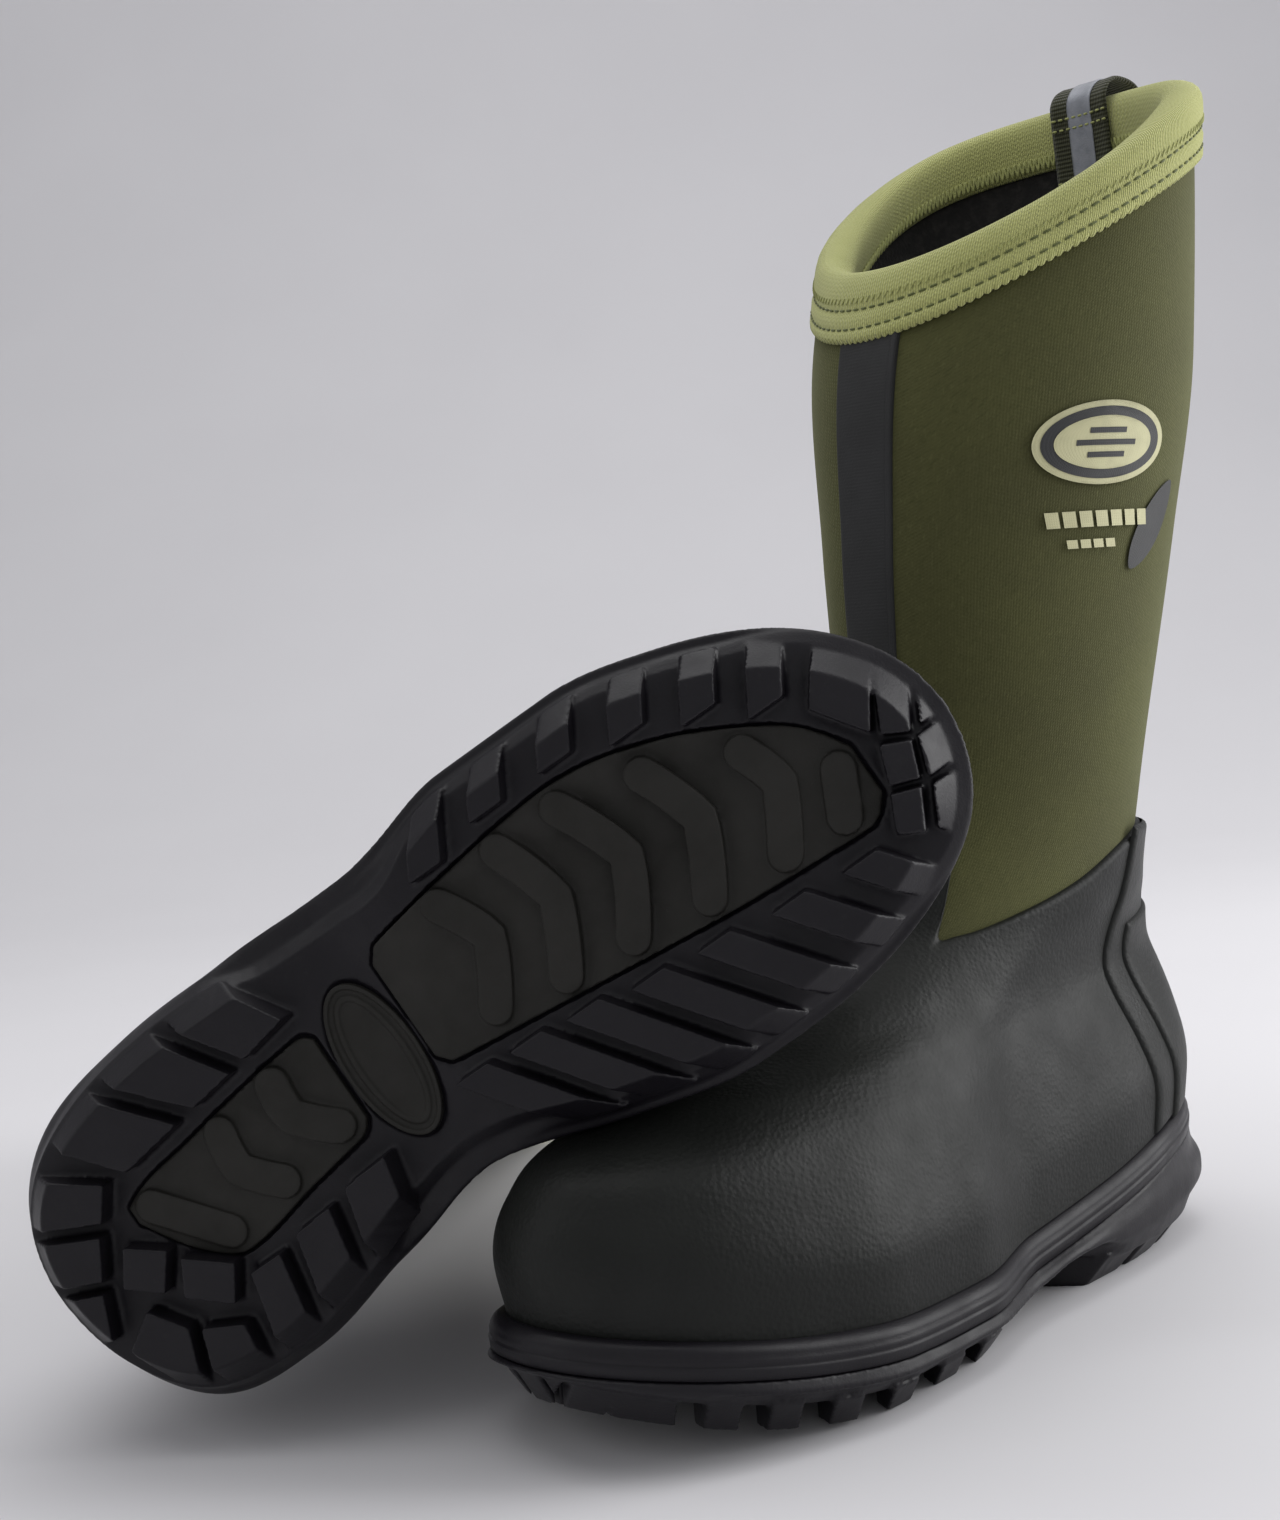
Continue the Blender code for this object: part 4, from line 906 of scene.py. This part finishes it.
def make_binding(knit, yarn, dark_yarn):
    """Knitted tape folded over the edge: scalloped hem, ribs, stitch lines and overlock loops."""
    profile = [(-20.4, 0.3), (-21.0, 1.6), (-20.0, 2.7), (-18.2, 2.9), (-17.2, 2.5), (-16.4, 2.4),
               (-15.4, 2.9),
               (-13.2, 3.1), (-11.4, 2.6), (-10.4, 2.3), (-9.4, 2.7), (-7.6, 3.2), (-5.0, 3.4), (-2.5, 3.4),
               (0.0, 3.1), (1.9, 2.2), (3.3, 0.6), (4.1, -1.6), (4.3, -4.0), (3.8, -6.4), (2.6, -8.6),
               (0.6, -10.2), (-2.5, -10.9), (-7.0, -11.0), (-11.5, -10.7), (-15.5, -10.4), (-17.0, -9.6),
               (-17.0, -8.2)]
    grid = rim_grid(profile, RIM_COLUMNS)
    scallop = np.abs(np.sin(np.arange(RIM_COLUMNS) * pi / 4))
    grid[:3, :, 2] -= (0.9 * scallop - 0.5)[None, :]
    grid_piece("binding_knit", grid, knit, True, stands_for=["top_binding"], slot="binding")
    step = 360 / RIM_STITCHES
    starts, ends = [], []
    for dz, proud in ((-10.4, 2.55), (-16.8, 2.6)):
        a = around(RIM_STITCHES)
        starts.append(skin(a, rim_level(a) + dz, proud))
        ends.append(skin(a - 0.66 * step, rim_level(a - 0.66 * step) + dz, proud))
    stitches("binding_stitches", np.vstack(starts), np.vstack(ends), 0.42, dark_yarn, slot="binding")
    a = around(RIM_LOOPS)
    step = 360 / RIM_LOOPS
    low, high = rim_level(a) - 16.2, rim_level(a + step / 2) - 11.6
    zig = [skin(a, low, -11.0), skin(a + step / 2, high, -11.2)]
    zag = [skin(a + step / 2, high, -11.2), skin(a + step, rim_level(a + step) - 16.2, -11.0)]
    stitches("overlock_loops", np.vstack([zig[0], zag[0]]), np.vstack([zig[1], zag[1]]), 0.5,
             yarn, slot="binding")
    low, high = rim_level(a) - 8.8, rim_level(a + step / 2) - 6.6
    stitches("fold_stitches", skin(a, low, 3.3), skin(a + step / 2, high, 3.45), 0.22, yarn, slot="binding")


def loop_centre():
    """Pull loop's path over the back of the rim, as points in the boot's frame."""
    inside = -(LINING_DEPTH + LINING + 1.8 + 5 * GAP)
    outside = 3 * GAP + 1.8
    path = np.array(((-36.0, inside), (-18.0, inside), (1.5, inside), (6.6, inside + 3.0), (8.6, -4.0),
                     (6.6, outside + LOOP_STAND_OFF * 0.3), (-4.0, outside + LOOP_STAND_OFF),
                     (-15.0, outside + LOOP_STAND_OFF * 0.9), (-24.0, outside + LOOP_STAND_OFF * 0.35),
                     (-30.0, outside), (-40.0, outside)))
    at = np.r_[0, np.cumsum(np.linalg.norm(np.diff(path, axis=0), axis=1))]
    dense = np.linspace(0, at[-1], 90)
    path = np.column_stack([curve(dense, list(zip(at, path[:, i]))) for i in (0, 1)])
    rim = float(rim_level(180.0))
    spine = skin(180.0, rim + np.minimum(path[:, 0], 0), 0.0)
    spine[:, 2] += np.maximum(path[:, 0], 0)
    outward = skin(180.0, rim, 1.0) - skin(180.0, rim, 0.0)
    side = np.cross(outward, (0, 0, 1))
    side /= np.linalg.norm(side)
    outward = np.cross((0, 0, 1), side)
    return spine + outward * path[:, 1:2], side, outward


def band_grid(rows, width, near, far, columns=18):
    """Closed cross-section swept along some of the loop's path."""
    centre, side, outward = loop_centre()
    along = np.gradient(centre, axis=0)
    normal = np.cross(along, side)
    normal /= np.linalg.norm(normal, axis=1)[:, None]
    if normal[0] @ outward > 0:
        normal = -normal
    offsets = np.linspace(-0.5, 0.5, columns)
    crown = np.sqrt(np.clip(1 - (2 * np.abs(offsets)) ** 14, 0, 1))
    grid = []
    for i in rows:
        line = []
        for sign, level in ((1, far), (-1, near)):
            for offset, rise in list(zip(offsets, crown))[::sign]:
                middle = (near + far) / 2
                height = middle + (level - middle) * (0.35 + 0.65 * rise)
                sag = -outward * (offset * width) ** 2 / 110
                line.append(centre[i] + side * offset * width + sag + normal[i] * height)
        grid.append(line)
    return np.array(grid), centre, side, outward, normal


def make_pull_loop(webbing, tape, yarn):
    grid, centre, side, outward, normal = band_grid(range(90), LOOP_WIDTH, 0.0, LOOP_THICKNESS)
    grid_piece("loop_webbing", grid, webbing, True, stands_for=["pull_loop"], slot="webbing")
    strip = band_grid(range(2, 62), 10.5, LOOP_THICKNESS - 0.1, LOOP_THICKNESS + 0.5)[0]
    grid_piece("loop_strip", strip, tape, True, stands_for=["loop_reflector"], slot="reflector")
    starts, ends = [], []
    for row in (6, 9, 24, 27, 77, 86):
        for k in range(9):
            for share, store in ((k / 9 - 0.47, starts), (k / 9 - 0.4, ends)):
                offset = share * LOOP_WIDTH
                store.append(centre[row] + side * offset - outward * offset ** 2 / 110
                             + normal[row] * (LOOP_THICKNESS + 0.45))
    stitches("loop_stitches", starts, ends, 0.42, yarn, slot="webbing")


def decal(name, centre, half_height, half_width, proud, paint, lean=0.0, tilt=0.0, **words):
    """Printed shape on the outer side; half_width gives its half width by height from -1 to 1."""
    t = np.sin(np.linspace(-pi / 2, pi / 2, 37))[:, None]
    s = np.linspace(-1, 1, 25)[None, :]
    x = s * half_width(t) + lean * t * half_height
    y = t * half_height + 0 * s
    turned_x = x * cos(radians(tilt)) - y * sin(radians(tilt))
    turned_y = x * sin(radians(tilt)) + y * cos(radians(tilt))
    girth = 2 * pi * by_level(centre[1], HALF_WIDTH) / 360
    angle = centre[0] - turned_x / girth
    return grid_piece(name, skin(angle, centre[1] + turned_y, proud), paint, **words)


def ellipse(half):
    return lambda t: half * np.sqrt(np.clip(1 - t ** 2, 0, 1))


def make_prints(lime, dark):
    """Generic oval mark, a row of plain bars and a plain leaf shape."""
    middle = (BADGE_ANGLE, BADGE_LEVEL)
    decal("oval_mark", middle, 13.5, ellipse(24.0), GAP + 0.5, lime, stands_for=["side_badge"],
          slot="print")
    decal("oval_field", middle, 11.6, ellipse(21.5), GAP + 0.65, dark, slot="print")
    decal("oval_centre", middle, 8.6, ellipse(17.5), GAP + 0.8, lime, slot="print")
    for i, half in enumerate((6.5, 10.5, 6.5)):
        decal(f"oval_bar_{i + 1}", (BADGE_ANGLE, BADGE_LEVEL + 3.9 * (1 - i)), 0.9,
              lambda t, half=half: half + 0 * t, GAP + 0.95, dark, slot="print")
    for i in range(7):
        decal(f"row_mark_{i + 1}", (BADGE_ANGLE + 18.5 - 5.6 * i, BADGE_LEVEL - 24.5), 2.6,
              lambda t: 2.1 + 0 * t, GAP + 0.4, lime, lean=0.25, slot="print")
    for i in range(4):
        decal(f"small_mark_{i + 1}", (BADGE_ANGLE + 6 - 4.6 * i, BADGE_LEVEL - 32.5), 1.4,
              lambda t: 1.7 + 0 * t, GAP + 0.4, lime, lean=0.25, slot="print")
    leaf = (BADGE_ANGLE + 25, BADGE_LEVEL - 27)
    decal("leaf_shape", leaf, 17.0, lambda t: 6.0 * (1 - t ** 2) ** 0.7 + 0.3, GAP + 0.3, dark,
          tilt=32, slot="print")


# ---- the scene

def dress_inner_pieces():
    """Materials for the CAD pieces that stay: loose footbed and what the sole hides."""
    looks = {
        "footbed": plain_inner("footbed_cloth", (0.03, 0.03, 0.028), 0.9, 6.0),
        "midsole": plain_inner("midsole_foam", (0.11, 0.11, 0.105), 0.8, 3.0),
        "shank": plain_inner("shank_steel", (0.42, 0.42, 0.43), 0.35, 9.0, 1.0),
        "insole_board": plain_inner("insole_fibre", (0.27, 0.18, 0.1), 0.85, 4.0),
        "toe_puff": plain_inner("puff_sheet", (0.45, 0.43, 0.36), 0.7, 5.0),
        "heel_stiffener": plain_inner("stiffener_sheet", (0.45, 0.43, 0.36), 0.7, 5.0)}
    for side in ("left", "right"):
        for node, material in looks.items():
            obj = frame["nodes"][side + "_" + node]
            obj.data.materials.clear()
            obj.data.materials.append(material)


def make_stage():
    """Pale seamless floor that sweeps up far behind the boots."""
    steps = [(-FLOOR_REACH, 0.0), (FLOOR_DEPTH, 0.0)]
    turns = [radians(a) for a in range(6, 91, 6)]
    steps += [(FLOOR_DEPTH + FLOOR_CURVE * sin(a), FLOOR_CURVE * (1 - cos(a))) for a in turns]
    steps.append((FLOOR_DEPTH + FLOOR_CURVE, 6.0))
    rows = [[(x, y, z) for x in (-FLOOR_REACH, FLOOR_REACH)] for y, z in steps]
    mesh = bpy.data.meshes.new("floor")
    mesh.from_pydata([p for row in rows for p in row], [], grid_faces(len(rows), 2, False))
    mesh.shade_smooth()
    floor = bpy.data.objects.new("floor", mesh)
    bpy.context.scene.collection.objects.link(floor)
    paint = Paint("floor_paper", (0.7, 0.69, 0.71), 0.7, Specular_IOR_Level=0.2)
    paint.tint(paint.noise(300.0, 2), (0.715, 0.705, 0.725))
    mesh.materials.append(paint.material)


def add_light(name, place, target, size, power, color=(1, 1, 1)):
    light = bpy.data.lights.new(name, "AREA")
    light.shape = "RECTANGLE"
    light.size, light.size_y = size
    light.energy = power
    light.color = color
    obj = bpy.data.objects.new(name, light)
    obj.location = place
    obj.rotation_euler = (Vector(target) - Vector(place)).to_track_quat("-Z", "Y").to_euler()
    bpy.context.scene.collection.objects.link(obj)


def make_lights():
    world = bpy.data.worlds.new("studio")
    world.use_nodes = True
    world.node_tree.nodes["Background"].inputs["Color"].default_value = (0.86, 0.87, 0.9, 1)
    world.node_tree.nodes["Background"].inputs["Strength"].default_value = 0.42
    bpy.context.scene.world = world
    middle = (0.0, 0.0, 0.15)
    add_light("top_softbox", (-0.1, 0.1, 1.5), middle, (1.8, 1.6), 10.0)
    add_light("left_softbox", (-1.5, -0.7, 0.9), middle, (1.2, 1.4), 3.0)
    add_light("right_softbox", (1.4, 0.1, 0.7), middle, (1.0, 1.4), 20.0)
    add_light("front_fill", (0.1, -2.0, 0.9), middle, (1.6, 1.0), 1.5)
    add_light("backdrop_softbox", (0.0, 0.5, 2.6), (0.0, 2.4, 0.8), (3.0, 0.8), 17.0)
    bpy.context.scene.view_settings.view_transform = "Standard"


def make_camera():
    """Camera low in front of the pair, tipped a little to one side."""
    azimuth, elevation, roll = radians(CAMERA_AZIMUTH), radians(CAMERA_ELEVATION), CAMERA_ROLL
    back = Vector((sin(azimuth) * cos(elevation), -cos(azimuth) * cos(elevation), sin(elevation)))
    right = (-back).cross(Vector((0, 0, 1))).normalized()
    down = (-back).cross(right)
    across = right * cos(roll) - down * sin(roll)
    up = -(right * sin(roll) + down * cos(roll))
    heel = PLACES["left"].translation
    target = Vector((heel.x + CAMERA_AIM[0], heel.y + CAMERA_AIM[1], CAMERA_AIM[2]))
    camera = bpy.data.cameras.new("camera")
    camera.lens = LENS
    camera.sensor_width = 36.0
    camera.shift_x, camera.shift_y = LENS_SHIFT
    obj = bpy.data.objects.new("camera", camera)
    turned = Matrix((across, up, back)).transposed().to_4x4()
    obj.matrix_world = Matrix.Translation(target + back * CAMERA_DISTANCE) @ turned
    bpy.context.scene.collection.objects.link(obj)
    bpy.context.scene.camera = obj


def main():
    make_camera()
    rubber, insert = outsole_rubber(), insert_rubber()
    foot, lime_yarn = foot_rubber(), thread("lime_yarn", (0.42, 0.44, 0.15))
    make_outsole(rubber)
    make_rand(rubber)
    make_insert("forefoot_insert", FOREFOOT_INSERT, FOREFOOT_PADS, insert)
    make_insert("heel_insert", HEEL_INSERT, HEEL_PADS, insert)
    make_boss(insert)
    make_shaft(neoprene_cloth())
    make_lining(lining_cloth())
    make_foot_cover(foot)
    make_heel_layers(foot)
    make_back_stay(foot)
    make_seam_tape(seam_tape())
    make_binding(knit_tape(), lime_yarn, thread("olive_yarn", (0.12, 0.14, 0.035)))
    make_pull_loop(webbing_cloth(), reflective_tape(), lime_yarn)
    lime, dark = (0.56, 0.54, 0.32), (0.036, 0.037, 0.038)
    make_prints(print_paint("lime_print", lime), print_paint("dark_print", dark))
    dress_inner_pieces()
    make_stage()
    make_lights()


main()
